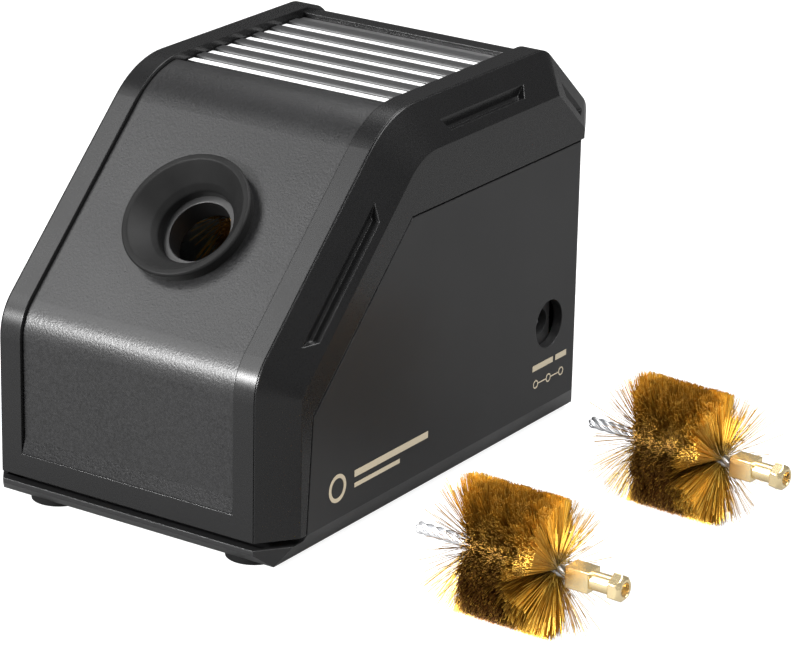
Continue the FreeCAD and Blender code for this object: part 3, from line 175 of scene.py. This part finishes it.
def moulded(name, level, rough, grain=0.35, depth=0.02, edge_radius=0.35, edge_light=1.6, tint=1.03,
            colour=None, specular=0.5, speckle=0.25, dull_below=None):
    """Moulded plastic: spark-eroded grain, faint flow mottling, and edges lightened by handling wear and a
    painted highlight. Faces that lean back below dull_below millimetres shine less, as painted shade."""
    g = Graph(name)
    base = colour or grey(level, tint)
    rounded = g.rounded(edge_radius)
    grain_noise = g.noise(grain, detail=3.0, rough=0.6)
    flow = g.noise(26.0, detail=2.0)
    lighter = rgb(*(min(1.0, c * (1 + speckle)) for c in base[:3]))
    darker = rgb(*(c * (1 - speckle) for c in base[:3]))
    # lighter edges: handling wear plus a painted highlight
    worn_and_highlit = rgb(*(min(1.0, c * edge_light) for c in base[:3]))
    speckled = g.blend(g.scale(grain_noise, 0, 1, 0.3, 0.7), darker, lighter)
    mottled = g.blend(g.scale(flow, 0, 0.35, 0.35, 0.65), speckled, base)
    edges = g.edge(rounded)
    g.set(Base_Color=g.blend(edges, mottled, worn_and_highlit))
    handled = g.math("MULTIPLY", g.scale(flow, 0.92, 1.08, 0.3, 0.7), rough)
    g.set(Roughness=g.math("ADD", handled, g.scale(grain_noise, -0.03, 0.03, 0.3, 0.7)))
    g.set(Specular_IOR_Level=specular)
    # painted shade: low faces that lean back get a lower specular level, so they shine less
    if dull_below:
        lean = g.split(g.node("ShaderNodeNewGeometry").outputs["Normal"])[2]
        low = g.scale(g.split()[2], 1, 0, (dull_below - 1) * MM, dull_below * MM)
        dust_and_painted_shade = g.math("MULTIPLY", low, g.scale(lean, 0, 1, 0.05, 0.2))
        g.set(Specular_IOR_Level=g.scale(dust_and_painted_shade, specular, specular * 0.3))
    g.set(Normal=g.bump(grain_noise, depth, rounded))
    return g.material


def metal(name, colour, rough, brush=(1, 1, 1), depth=0.004, edge_radius=0.15, dull=0.35, size=0.5,
          bare=1.0):
    """Bare or plated metal with drawn or turned marks along the long side of brush, and dull patches."""
    g = Graph(name)
    marks = g.noise(size, stretch=brush, detail=4.0, rough=0.65)
    patches = g.noise(4.0, detail=3.0)
    dark = rgb(*(c * (1 - dull) for c in colour[:3]))
    g.set(Base_Color=g.blend(g.scale(patches, 0, 1, 0.35, 0.7), colour, dark))
    g.set(Metallic=bare)
    g.set(Roughness=g.math("ADD", g.scale(marks, rough * 0.8, rough * 1.25, 0.3, 0.7),
                           g.scale(patches, 0, rough * 0.4, 0.4, 0.8)))
    g.set(Normal=g.bump(marks, depth, g.rounded(edge_radius)))
    return g.material


def rubber():
    """Matte black rubber with a bloom of dust, and painted shade darkening the mouth's throat."""
    g = Graph("rubber")
    guide = next(mount for mount in frame["record"]["mounts"] if mount["name"] == "tip_guide")
    offset = g.vector("SUBTRACT", g.place, tuple(guide["pos_m"]))
    from_axis = g.vector("LENGTH", g.vector("CROSS_PRODUCT", offset, tuple(guide["axis"])))
    throat = g.scale(from_axis, 1, 0, THROAT_INSIDE * MM, THROAT_OUTSIDE * MM)
    rounded = g.rounded(0.5)
    pores = g.noise(0.3, detail=4.0)
    bloom = g.noise(7.0, detail=3.0)
    dust_and_painted_shade = g.blend(g.scale(bloom, 0, 1, 0.35, 0.7), grey(0.004), grey(0.006))
    # painted shade: near black inside the mouth's throat
    g.set(Base_Color=g.blend(throat, dust_and_painted_shade, grey(0.001)))
    g.set(Roughness=g.scale(pores, 0.5, 0.62, 0.3, 0.7))
    g.set(Specular_IOR_Level=0.13, Sheen_Weight=0.006, Sheen_Roughness=0.5)
    g.set(Normal=g.bump(pores, 0.012, rounded))
    return g.material


def strips():
    """Bright satin trim with lengthwise brushing, and painted shade: black front faces and a dark rearmost
    strip.
    """
    g = Graph("bright_trim")
    y = g.split()[1]
    brushed = g.noise(0.25, stretch=(0.03, 1, 1), detail=3.0)
    # painted shade: the rearmost strip turns dark
    shade = g.scale(y, 0.0, 1.0, REAR_STRIP_FROM * MM, REAR_STRIP_FULL * MM)
    light = g.blend(g.scale(brushed, 0, 1, 0.3, 0.7), grey(0.6), grey(0.68))
    lit = g.blend(shade, light, grey(0.04))
    # painted shade: faces turned to the front are near black
    front = g.split(g.node("ShaderNodeNewGeometry").outputs["Normal"])[1]
    g.set(Base_Color=g.blend(g.scale(front, 1, 0, -0.8, -0.4), lit, grey(0.02)))
    g.set(Roughness=g.scale(brushed, 0.3, 0.42, 0.3, 0.7))
    g.set(Normal=g.bump(brushed, 0.003))
    return g.material


def bristle_brass():
    """Fine drawn brass wire, each wire with its own tone: golden at both ends of a tuft, with painted shade
    between them that leaves a few bright wires and lightens towards the top, and painted shade at the
    roots."""
    g = Graph("bristle_brass")
    x, y, z = g.split()
    radius = g.vector("LENGTH", g.join(0.0, y, z))
    turn = g.math("ARCTAN2", z, y)
    around = g.join(x, g.math("MULTIPLY", turn, TUFT_RADIUS * MM), 0.0)
    wire = g.noise(0.6, place=around, detail=3.0, rough=0.7)
    cluster = g.noise(3.2, place=around, detail=1.0)
    uneven = g.math("MULTIPLY", g.math("SUBTRACT", cluster, 0.5), 9 * MM)
    along = g.math("ADD", g.math("ABSOLUTE", x), uneven)
    middle = g.scale(along, 1, 0, 5.5 * MM, 13 * MM)
    # painted shade along the tuft's middle, painted lighter towards the top
    painted_middle_shade = g.math("MULTIPLY", middle, g.scale(z, 1.0, 0.62, -2 * MM, 13 * MM))
    wired = g.blend(painted_middle_shade, rgb(0.78, 0.40, 0.035), rgb(0.085, 0.030, 0.004))
    # painted shade: darker deep in the tuft, towards the roots
    deep = g.blend(g.scale(radius, 0, 1, 2 * MM, 9 * MM), rgb(0.10, 0.034, 0.004), wired)
    lit = g.math("SUBTRACT", wire, g.math("MULTIPLY", painted_middle_shade, 0.1))
    bright = g.blend(painted_middle_shade, rgb(1.0, 0.74, 0.15), rgb(0.75, 0.42, 0.06))
    pale = g.blend(g.scale(lit, 0, 1, 0.42, 0.66), deep, bright)
    g.set(Base_Color=g.blend(g.scale(cluster, 0.4, 0.0, 0.3, 0.55), pale, rgb(0.10, 0.04, 0.005)))
    g.set(Metallic=0.7)
    g.set(Roughness=g.scale(wire, 0.26, 0.46, 0.3, 0.7))
    return g.material


def board():
    """Green solder mask over copper tracks and tinned pads."""
    g = Graph("circuit_board")
    tracks = g.node("ShaderNodeTexBrick")
    g.feed(tracks.inputs["Vector"], g.vector("MULTIPLY", g.place, (1, 1, 0)))
    layout = {"Scale": 260.0, "Mortar Size": 0.035, "Brick Width": 1.3, "Row Height": 0.45}
    for key, value in layout.items():
        g.feed(tracks.inputs[key], value)
    line = tracks.outputs["Fac"]
    cells = g.node("ShaderNodeTexVoronoi")
    g.feed(cells.inputs["Vector"], g.place)
    g.feed(cells.inputs["Scale"], 420.0)
    pad = g.scale(cells.outputs["Distance"], 1, 0, 0.16, 0.2)
    mask = g.blend(line, rgb(0.012, 0.085, 0.03), rgb(0.03, 0.17, 0.06))
    g.set(Base_Color=g.blend(pad, mask, grey(0.62)))
    g.set(Metallic=g.math("MULTIPLY", pad, 0.9))
    g.set(Roughness=0.32)
    g.set(Normal=g.bump(line, 0.04, g.rounded(0.1)))
    return g.material


def lamp():
    """Clear-tinted epoxy of a small lamp."""
    g = Graph("lamp_epoxy")
    haze = g.noise(1.0)
    g.set(Base_Color=g.blend(g.scale(haze, 0, 1, 0.3, 0.7), rgb(0.05, 0.055, 0.09), rgb(0.1, 0.1, 0.16)))
    g.set(Roughness=g.scale(haze, 0.06, 0.14, 0.3, 0.7))
    g.set(Coat_Weight=0.4, Coat_Roughness=0.05)
    return g.material


def marking():
    """Flat beige pad-printed ink."""
    g = Graph("printed_ink")
    grain_noise = g.noise(0.12, detail=3.0)
    thinner, thicker = rgb(0.36, 0.31, 0.22), rgb(0.5, 0.44, 0.33)
    g.set(Base_Color=g.blend(g.scale(grain_noise, 0, 1, 0.35, 0.65), thinner, thicker))
    g.set(Roughness=g.scale(grain_noise, 0.45, 0.6, 0.3, 0.7))
    return g.material


finish = {
    "housing": moulded("housing_plastic", 0.010, 0.38, depth=0.008, specular=0.34),
    "hood": moulded("hood_plastic", 0.006, 0.28, depth=0.0012, edge_light=2.0, specular=0.3, speckle=0.1),
    "panel": moulded("panel_plastic", 0.010, 0.33, grain=0.55, depth=0.055, specular=0.36, speckle=0.5,
                     dull_below=25),
    "grille": moulded("grille_plastic", 0.02, 0.42, depth=0.003, speckle=0.12),
    "sleeve": moulded("sleeve_plastic", 0.006, 0.4, depth=0.006),
    "tray": moulded("tray_plastic", 0.035, 0.42, depth=0.012),
    "rubber": rubber(),
    "trim": strips(),
    "plate": metal("zinc_plate", rgb(0.66, 0.67, 0.66), 0.3, brush=(1, 0.05, 1)),
    "screw": metal("blackened_screw", rgb(0.42, 0.42, 0.43), 0.32),
    "spacer": metal("turned_spacer", rgb(0.7, 0.66, 0.55), 0.25, brush=(1, 0.1, 0.1)),
    "bush": metal("sintered_bronze", rgb(0.55, 0.36, 0.17), 0.42, depth=0.01, size=0.2),
    "steel": metal("ground_steel", rgb(0.64, 0.65, 0.66), 0.22, brush=(1, 0.1, 0.1)),
    "motor": metal("motor_can_steel", rgb(0.6, 0.61, 0.62), 0.3, brush=(0.06, 1, 1)),
    "cap": moulded("motor_cap_plastic", 0.5, 0.4, colour=rgb(0.5, 0.47, 0.4), depth=0.006),
    "magnet": moulded("ferrite_magnet", 0.035, 0.6, grain=0.15, depth=0.02),
    "gear": moulded("acetal_gear", 0.72, 0.36, colour=rgb(0.74, 0.73, 0.69), depth=0.004, edge_light=1.1),
    "spindle": metal("spindle_steel", rgb(0.6, 0.6, 0.58), 0.25, brush=(1, 0.1, 0.1)),
    "lamp": lamp(),
    "board": board(),
    "chip": moulded("moulded_epoxy", 0.009, 0.5, grain=0.1, depth=0.01, edge_radius=0.1),
    "wire": metal("galvanised_wire", rgb(0.74, 0.75, 0.77), 0.34, dull=0.25, depth=0.006, bare=0.9),
    "bristle": bristle_brass(),
    "ferrule": metal("pale_brass", rgb(0.86, 0.70, 0.40), 0.18, brush=(0.2, 1, 1), edge_radius=0.4,
                     dull=0.1, bare=0.85),
}
ink = marking()

slots = {part["node"]: part["material_slot"] for part in frame["record"]["subparts"]}
for name, node in frame["nodes"].items():
    node.data.materials.clear()
    node.data.materials.append(finish[slots[name]])


# --------------------------------------------------------------------------- meshes


def piece(name, verts, faces, body, material, slot=None, smooth=False, matrix=None):
    """A mesh object in metres that rides on a body."""
    mesh = bpy.data.meshes.new(name)
    mesh.from_pydata([tuple(v) for v in verts], [], [tuple(f) for f in faces])
    mesh.polygons.foreach_set("use_smooth", [smooth] * len(mesh.polygons))
    mesh.materials.append(material)
    mesh.update()
    made = bpy.data.objects.new(name, mesh)
    bpy.context.scene.collection.objects.link(made)
    if matrix is not None:
        made.matrix_world = matrix
    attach(made, body)
    return made


def merge(parts):
    """The points and faces of several parts as one list of each."""
    verts, faces = [], []
    for more, more_faces in parts:
        start = len(verts)
        verts += more
        faces += [tuple(v + start for v in f) for f in more_faces]
    return verts, faces


def wires(roots, tips, thick, bow=None, steps=1):
    """Thin three-sided wires from roots to tips, in millimetres, whose tips are moved sideways by bow."""
    count = len(roots)
    along = tips - roots
    along /= np.linalg.norm(along, axis=1)[:, None]
    steep = np.abs(along[:, :1]) < 0.8
    side = np.cross(along, np.where(steep, [[1.0, 0, 0]], [[0, 1.0, 0]]))
    side /= np.linalg.norm(side, axis=1)[:, None]
    across = np.cross(along, side)
    rings = []
    for step in range(steps + 1):
        share = step / steps
        centre = roots + (tips - roots) * share
        if bow is not None:
            centre = centre + side * (bow[:, None] * math.sin(math.pi * share / 2) ** 2)
        for k in range(SIDES):
            turn = 2 * math.pi * k / SIDES
            out = side * math.cos(turn) + across * math.sin(turn)
            rings.append(centre + out * thick[:, None] / 2)
    stack = np.stack(rings, axis=1).reshape(-1, 3)
    per = SIDES * (steps + 1)
    local = []
    for step in range(steps):
        for k in range(SIDES):
            a, b = step * SIDES + k, step * SIDES + (k + 1) % SIDES
            local.append((a, b, b + SIDES, a + SIDES))
    top = steps * SIDES
    ends = [(2, 1, 0), (top, top + 1, top + 2)]
    faces = []
    for i in range(count):
        start = i * per
        faces += [tuple(start + v for v in f) for f in local]
        faces += [tuple(start + v for v in f) for f in ends]
    return stack * MM, faces


# A brush in its own place: its axis is X, with the hexagon at the low end. Lengths are millimetres.
ROOT_LOW, ROOT_HIGH = -12.4, 10.6
ROOT_RADIUS = 1.0
TIP_LOW, TIP_HIGH = -13.4, 13.6
TIP_UNDER, TIP_OVER = 0.9, 1.5  # how far single tips may pass the tuft's ends
SLANT_LOW, SLANT_HIGH = 8.0, 9.8  # how far the tuft's ends recede, each on one side
ROOT_SLANT_LOW, ROOT_SLANT_HIGH = 0.5, 0.3  # the share of that at the roots
NOTCH_DEEP, NOTCH_HALF = 6.0, 0.2  # the cleft next to the block; its half width is in radians
UNSLANTED_SHARE = 0.04
CLUMP_TURN, CLUMP_PLACE, CLUMP_LEAN, OWN_LEAN = 0.11, 0.02, 0.8, 0.45
TRIM, WAVE, WAVES = 0.35, 0.6, 3
BRISTLE_THICK = (0.11, 0.17)

STRAY_THICK = (0.1, 0.16)
STRAY_FAN = 0.6  # radians about straight up and straight down
STRAY_ROOT = 0.4  # from the end of the roots
STRAY_LEAN, STRAY_MORE = 2.5, 8.5  # the least lean out of the tuft, and what the wildest add
WILD_SHARE, CALM = 0.3, 0.45
STRAY_EDGE, STRAY_SAG, STRAY_LEAST = 0.6, 0.6, 2.0
STRAY_REACH = (0.88, 0.99)
STRAY_BOW, STRAY_STEPS = 0.7, 4
OVER_TUFT = 0.15  # how far a stray may stand out of the tuft


def about_axis(angle, radius, x):
    return np.stack([x, radius * np.cos(angle), radius * np.sin(angle)], axis=1)


def clumped_wires(rng, count, clumps):
    """The tuft proper: clumps of wires, receding with a slant at each end."""
    pick = rng.integers(0, clumps, count)
    angle = rng.uniform(-math.pi, math.pi, clumps)[pick] + rng.normal(0, CLUMP_TURN, count)
    angle = (angle + math.pi) % (2 * math.pi) - math.pi
    place = np.clip(rng.uniform(0, 1, clumps)[pick] + rng.normal(0, CLUMP_PLACE, count), 0, 1)
    slanted = rng.uniform(0, 1, count) > UNSLANTED_SHARE
    notch = NOTCH_DEEP * np.exp(-((angle / NOTCH_HALF) ** 2))
    low = (SLANT_LOW * np.maximum(0, -np.cos(angle)) + notch) * slanted
    high = SLANT_HIGH * np.maximum(0, np.cos(angle)) * slanted
    first, last = ROOT_LOW + ROOT_SLANT_LOW * low, ROOT_HIGH - ROOT_SLANT_HIGH * high
    root_x = first + (last - first) * place
    first, last = TIP_LOW + low, TIP_HIGH - high
    lean = rng.normal(0, CLUMP_LEAN, clumps)[pick] + rng.normal(0, OWN_LEAN, count)
    tip_x = np.clip(first + (last - first) * place + lean, TIP_LOW - TIP_UNDER, TIP_HIGH + TIP_OVER)
    trim = np.abs(rng.normal(0, TRIM, count))
    uneven = np.abs(np.sin(angle * WAVES + tip_x)) * rng.uniform(0, WAVE, count)
    tips = about_axis(angle, TUFT_RADIUS - trim - uneven, tip_x)
    return wires(about_axis(angle, ROOT_RADIUS, root_x), tips, rng.uniform(*BRISTLE_THICK, count))


def stray_wires(rng, count):
    """Longer, bowed wires that lean out of both ends of the tuft."""
    end = rng.integers(0, 2, count) * 2 - 1
    spread = rng.uniform(0, 1, count)
    wild = np.where(rng.uniform(0, 1, count) < WILD_SHARE, 1.0, CALM)
    root_x = np.where(end > 0, ROOT_HIGH - STRAY_ROOT, ROOT_LOW + STRAY_ROOT)
    upright = (rng.integers(0, 2, count) * 2 - 1) * math.pi / 2
    angle = upright + rng.normal(0, STRAY_FAN, count)
    lean = STRAY_LEAN + STRAY_MORE * spread * wild
    reach = (TUFT_RADIUS - STRAY_EDGE) ** 2 - lean**2 * STRAY_SAG
    reach = np.sqrt(np.maximum(STRAY_LEAST**2, reach)) * rng.uniform(*STRAY_REACH, count)
    roots = about_axis(angle, ROOT_RADIUS, root_x)
    tips = about_axis(angle, reach, root_x + end * lean)
    thick = rng.uniform(*STRAY_THICK, count)
    verts, faces = wires(roots, tips, thick, bow=rng.normal(0, STRAY_BOW, count), steps=STRAY_STEPS)
    far = np.hypot(verts[:, 1], verts[:, 2])
    pull = np.minimum(1.0, (TUFT_RADIUS + OVER_TUFT) * MM / far)
    verts[:, 1:] *= pull[:, None]
    return verts, faces


def tuft(name, body, centre, turn, count, clumps, strays, seed):
    """One brush's bristles. The same seed always gives the same wires."""
    rng = np.random.default_rng(seed)
    verts, faces = clumped_wires(rng, count, clumps)
    more, more_faces = stray_wires(rng, strays)
    start = len(verts)
    faces += [tuple(v + start for v in f) for f in more_faces]
    verts = np.concatenate([verts, more])
    at = Matrix.Translation(Vector(centre) * MM)
    return piece(name, turned(verts, turn), faces, body, finish["bristle"], "bristle", matrix=at)


def turned(verts, turn):
    """Points turned about Z, so that the object itself needs no turn and its box stays tight."""
    points = np.asarray(verts, float)
    c, s = math.cos(turn), math.sin(turn)
    x, y, z = points.T
    return np.stack([x * c - y * s, x * s + y * c, z], axis=1)


STRANDS = 4
STRAND_RADIUS = 0.6
STRAND_OFFSET = 0.86
STRAND_PITCH = 11.0  # one turn of the twist
STRAND_STEPS, STRAND_SIDES = 150, 10
END_BLUNT = 0.25  # a strand's end as a share of its section
CORE_START, CORE_END = -19.4, 26.0


def strand(number):
    """One helical strand of the stem, with blunt ends."""
    verts, faces = [], []
    for i in range(STRAND_STEPS + 1):
        x = CORE_START + (CORE_END - CORE_START) * i / STRAND_STEPS
        a = 2 * math.pi * (x / STRAND_PITCH + number / STRANDS)
        out = Vector((0, math.cos(a), math.sin(a)))
        tangent = Vector((0, -math.sin(a), math.cos(a)))
        slope = Vector((STRAND_PITCH, 0, 0)) + tangent * (2 * math.pi * STRAND_OFFSET)
        across = slope.normalized().cross(out)
        from_end = min(i, STRAND_STEPS - i) / 2
        radius = STRAND_RADIUS * math.sqrt(min(1.0, END_BLUNT + from_end))
        for k in range(STRAND_SIDES):
            t = 2 * math.pi * k / STRAND_SIDES
            rim = (out * math.cos(t) + across * math.sin(t)) * radius
            verts.append((Vector((x, 0, 0)) + out * STRAND_OFFSET + rim) * MM)
    for i in range(STRAND_STEPS):
        for k in range(STRAND_SIDES):
            p = i * STRAND_SIDES + k
            q = i * STRAND_SIDES + (k + 1) % STRAND_SIDES
            faces.append((q, p, p + STRAND_SIDES, q + STRAND_SIDES))
    last = STRAND_STEPS * STRAND_SIDES
    faces.append(tuple(range(STRAND_SIDES)))
    faces.append(tuple(last + k for k in reversed(range(STRAND_SIDES))))
    return verts, faces


def core(name, body, centre, turn):
    """The brush's stem: steel strands twisted together."""
    verts, faces = merge(strand(number) for number in range(STRANDS))
    at = Matrix.Translation(Vector(centre) * MM)
    return piece(name, turned(verts, turn), faces, body, finish["wire"], "wire", smooth=True, matrix=at)


def middle(node):
    low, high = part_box(node)
    return (low + high) / 2 / MM


# Each brush's body, turn in degrees, bristles, clumps, strays and seed.
BRUSHES = {
    "front_spare": ("front_spare_brush", 178.0, 20000, 900, 260, 11),
    "rear_spare": ("rear_spare_brush", 176.5, 20000, 900, 260, 12),
    "upper_brush": ("upper_brush", 0.0, 8000, 400, 90, 13),
    "lower_brush": ("lower_brush", 0.0, 8000, 400, 90, 14),
}
for brush, (body, degrees, count, clumps, strays, seed) in BRUSHES.items():
    spot, turn = middle(brush + "_bristles"), math.radians(degrees)
    bristles = tuft(brush + "_wire_tuft", body, spot, turn, count, clumps, strays, seed)
    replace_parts(bristles, brush + "_bristles")
    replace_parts(core(brush + "_twisted_wire", body, spot, turn), brush + "_core_wire")


def bar(corners, depth, origin, across, up):
    """A flat printed shape: its corners in millimetres on a plane, given a little thickness."""
    across, up = Vector(across), Vector(up)
    out = across.cross(up)
    base = [Vector(origin) + across * u + up * v for u, v in corners]
    front = [(p + out * depth) * MM for p in base]
    back = [(p - out * depth) * MM for p in base]
    n = len(corners)
    faces = [tuple(range(n)), tuple(reversed(range(n, 2 * n)))]
    faces += [(i, i + n, (i + 1) % n + n, (i + 1) % n) for i in range(n)]
    return front + back, faces


def ring_outline(radius, width, sides, origin, across, up, depth, centre):
    """A flat printed ring."""
    across, up = Vector(across), Vector(up)
    out = across.cross(up)
    verts, faces = [], []
    for i in range(sides):
        a = 2 * math.pi * i / sides
        for r, d in ((radius, depth), (radius, -depth), (radius - width, -depth), (radius - width, depth)):
            u, v = centre[0] + r * math.cos(a), centre[1] + r * math.sin(a)
            verts.append((Vector(origin) + across * u + up * v + out * d) * MM)
    for i in range(sides):
        for k in range(4):
            p, q = 4 * i + k, 4 * ((i + 1) % sides)
            faces.append((p, 4 * i + (k + 1) % 4, q + (k + 1) % 4, q + k))
    return verts, faces


def rectangle(u, v, wide, high):
    return [(u, v), (u + wide, v), (u + wide, v + high), (u, v + high)]


# --------------------------------------------------------------------------- camera, floor, light


def place_camera():
    """The camera, at the photograph's angle."""
    place = Vector((497.52, -705.07, 350.83)) * MM
    yaw, pitch, roll = 0.585864, 0.351798, 0.0211344
    focal = 3729.6  # in picture elements
    forward = Vector((-math.sin(yaw) * math.cos(pitch), math.cos(yaw) * math.cos(pitch), -math.sin(pitch)))
    level = Vector((math.cos(yaw), math.sin(yaw), 0))
    upright = level.cross(forward)
    right = math.cos(roll) * level + math.sin(roll) * upright
    up = -math.sin(roll) * level + math.cos(roll) * upright
    data = bpy.data.cameras.new("camera")
    data.sensor_width = SENSOR
    data.lens = focal * SENSOR / IMAGE_WIDTH
    data.clip_end = 50
    camera = bpy.data.objects.new("camera", data)
    camera.matrix_world = Matrix.Translation(place) @ Matrix((right, up, -forward)).transposed().to_4x4()
    bpy.context.scene.collection.objects.link(camera)
    bpy.context.scene.camera = camera


def softbox(name, spot, aim, size, power):
    """A rectangular light at spot, in metres, that shines at aim."""
    data = bpy.data.lights.new(name, "AREA")
    data.shape = "RECTANGLE"
    data.size, data.size_y = size
    data.energy = power
    made = bpy.data.objects.new(name, data)
    made.location = spot
    made.rotation_mode = "QUATERNION"
    made.rotation_quaternion = (Vector(aim) - Vector(spot)).to_track_quat("-Z", "Y")
    bpy.context.scene.collection.objects.link(made)


FLOOR_HALF = 8.0
FLOOR_GLOW = 0.9
WORLD_LIGHT, WORLD_SEEN = 0.1, 1.1


def place_floor():
    """A pale floor. Its glow is for camera rays alone, so it lights nothing."""
    mesh = bpy.data.meshes.new("floor")
    corners = [(-1, -1, 0), (1, -1, 0), (1, 1, 0), (-1, 1, 0)]
    mesh.from_pydata([Vector(c) * FLOOR_HALF for c in corners], [], [(0, 1, 2, 3)])
    floor = bpy.data.objects.new("floor", mesh)
    bpy.context.scene.collection.objects.link(floor)
    g = Graph("floor_white")
    g.set(Base_Color=grey(0.24), Roughness=0.8, Specular_IOR_Level=0.1)
    seen = g.node("ShaderNodeLightPath").outputs["Is Camera Ray"]
    glow = g.node("ShaderNodeEmission")
    g.feed(glow.inputs["Strength"], g.math("MULTIPLY", seen, FLOOR_GLOW))
    total = g.node("ShaderNodeAddShader")
    g.tree.links.new(g.shader.outputs[0], total.inputs[0])
    g.tree.links.new(glow.outputs[0], total.inputs[1])
    output = next(n for n in g.tree.nodes if n.type == "OUTPUT_MATERIAL")
    g.tree.links.new(total.outputs[0], output.inputs[0])
    mesh.materials.append(g.material)


def place_world():
    """White surroundings that light the object weakly and look white to camera rays."""
    world = bpy.data.worlds.new("studio")
    world.use_nodes = True
    tree = world.node_tree
    back = next(n for n in tree.nodes if n.type == "BACKGROUND")
    seen = tree.nodes.new("ShaderNodeLightPath")
    strength = tree.nodes.new("ShaderNodeMapRange")
    tree.links.new(seen.outputs["Is Camera Ray"], strength.inputs["Value"])
    strength.inputs["To Min"].default_value = WORLD_LIGHT
    strength.inputs["To Max"].default_value = WORLD_SEEN
    tree.links.new(strength.outputs[0], back.inputs["Strength"])
    back.inputs["Color"].default_value = (1, 1, 1, 1)
    bpy.context.scene.world = world
    bpy.context.scene.view_settings.view_transform = "Standard"


place_camera()
place_world()
place_floor()
softbox("key_front_left", (-0.37, -0.94, 0.40), (0, -0.05, 0.04), (0.4, 0.13), 27)
softbox("high_left", (-0.57, -0.56, 0.80), (0, -0.02, 0.05), (0.7, 0.5), 6.2)
softbox("overhead_rear", (-0.1, 0.45, 1.0), (0, 0, 0.03), (0.8, 0.4), 7)
softbox("overhead_right", (0.5, 0.18, 0.92), (0.02, 0, 0.05), (0.85, 0.42), 18)
softbox("right_fill", (0.78, -0.72, 0.42), (0.09, -0.02, 0.02), (0.35, 0.35), 4)

# --------------------------------------------------------------------------- printed marks, without letters

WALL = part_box("lower_housing")[1].x / MM
FORWARD, UP, INK_DEPTH = (0, 1, 0), (0, 0, 1), 0.04
# On the right wall, in millimetres along Y and Z: each bar's corner and size, and each ring's centre.
MAKER_BARS = ((-39.5, 16.6, 31.0, 1.7), (-39.5, 14.0, 19.0, 1.1))
MAKER_CENTRE, MAKER_RADIUS, MAKER_LINE = (-46.4, 16.1), 3.5, 1.0
RATING_BARS = ((38.6, 18.9, 9.6, 1.5), (49.4, 18.9, 5.2, 1.5))
POLE_CENTRES, POLE_RADIUS, POLE_LINE = ((40.3, 15.2), (46.3, 15.2), (52.3, 15.2)), 1.15, 0.35
LINK_BARS = ((41.45, 15.05, 3.7, 0.3), (47.45, 15.05, 3.7, 0.3))


def wall_bars(bars):
    return [bar(rectangle(*place), INK_DEPTH, (WALL, 0, 0), FORWARD, UP) for place in bars]


def wall_ring(centre, radius, line, sides):
    return ring_outline(radius, line, sides, (WALL, 0, 0), FORWARD, UP, INK_DEPTH, centre)


maker = wall_bars(MAKER_BARS) + [wall_ring(MAKER_CENTRE, MAKER_RADIUS, MAKER_LINE, 40)]
piece("side_mark", *merge(maker), "base", ink)
poles = [wall_ring(centre, POLE_RADIUS, POLE_LINE, 24) for centre in POLE_CENTRES]
piece("rating_mark", *merge(wall_bars(RATING_BARS) + poles + wall_bars(LINK_BARS)), "base", ink)
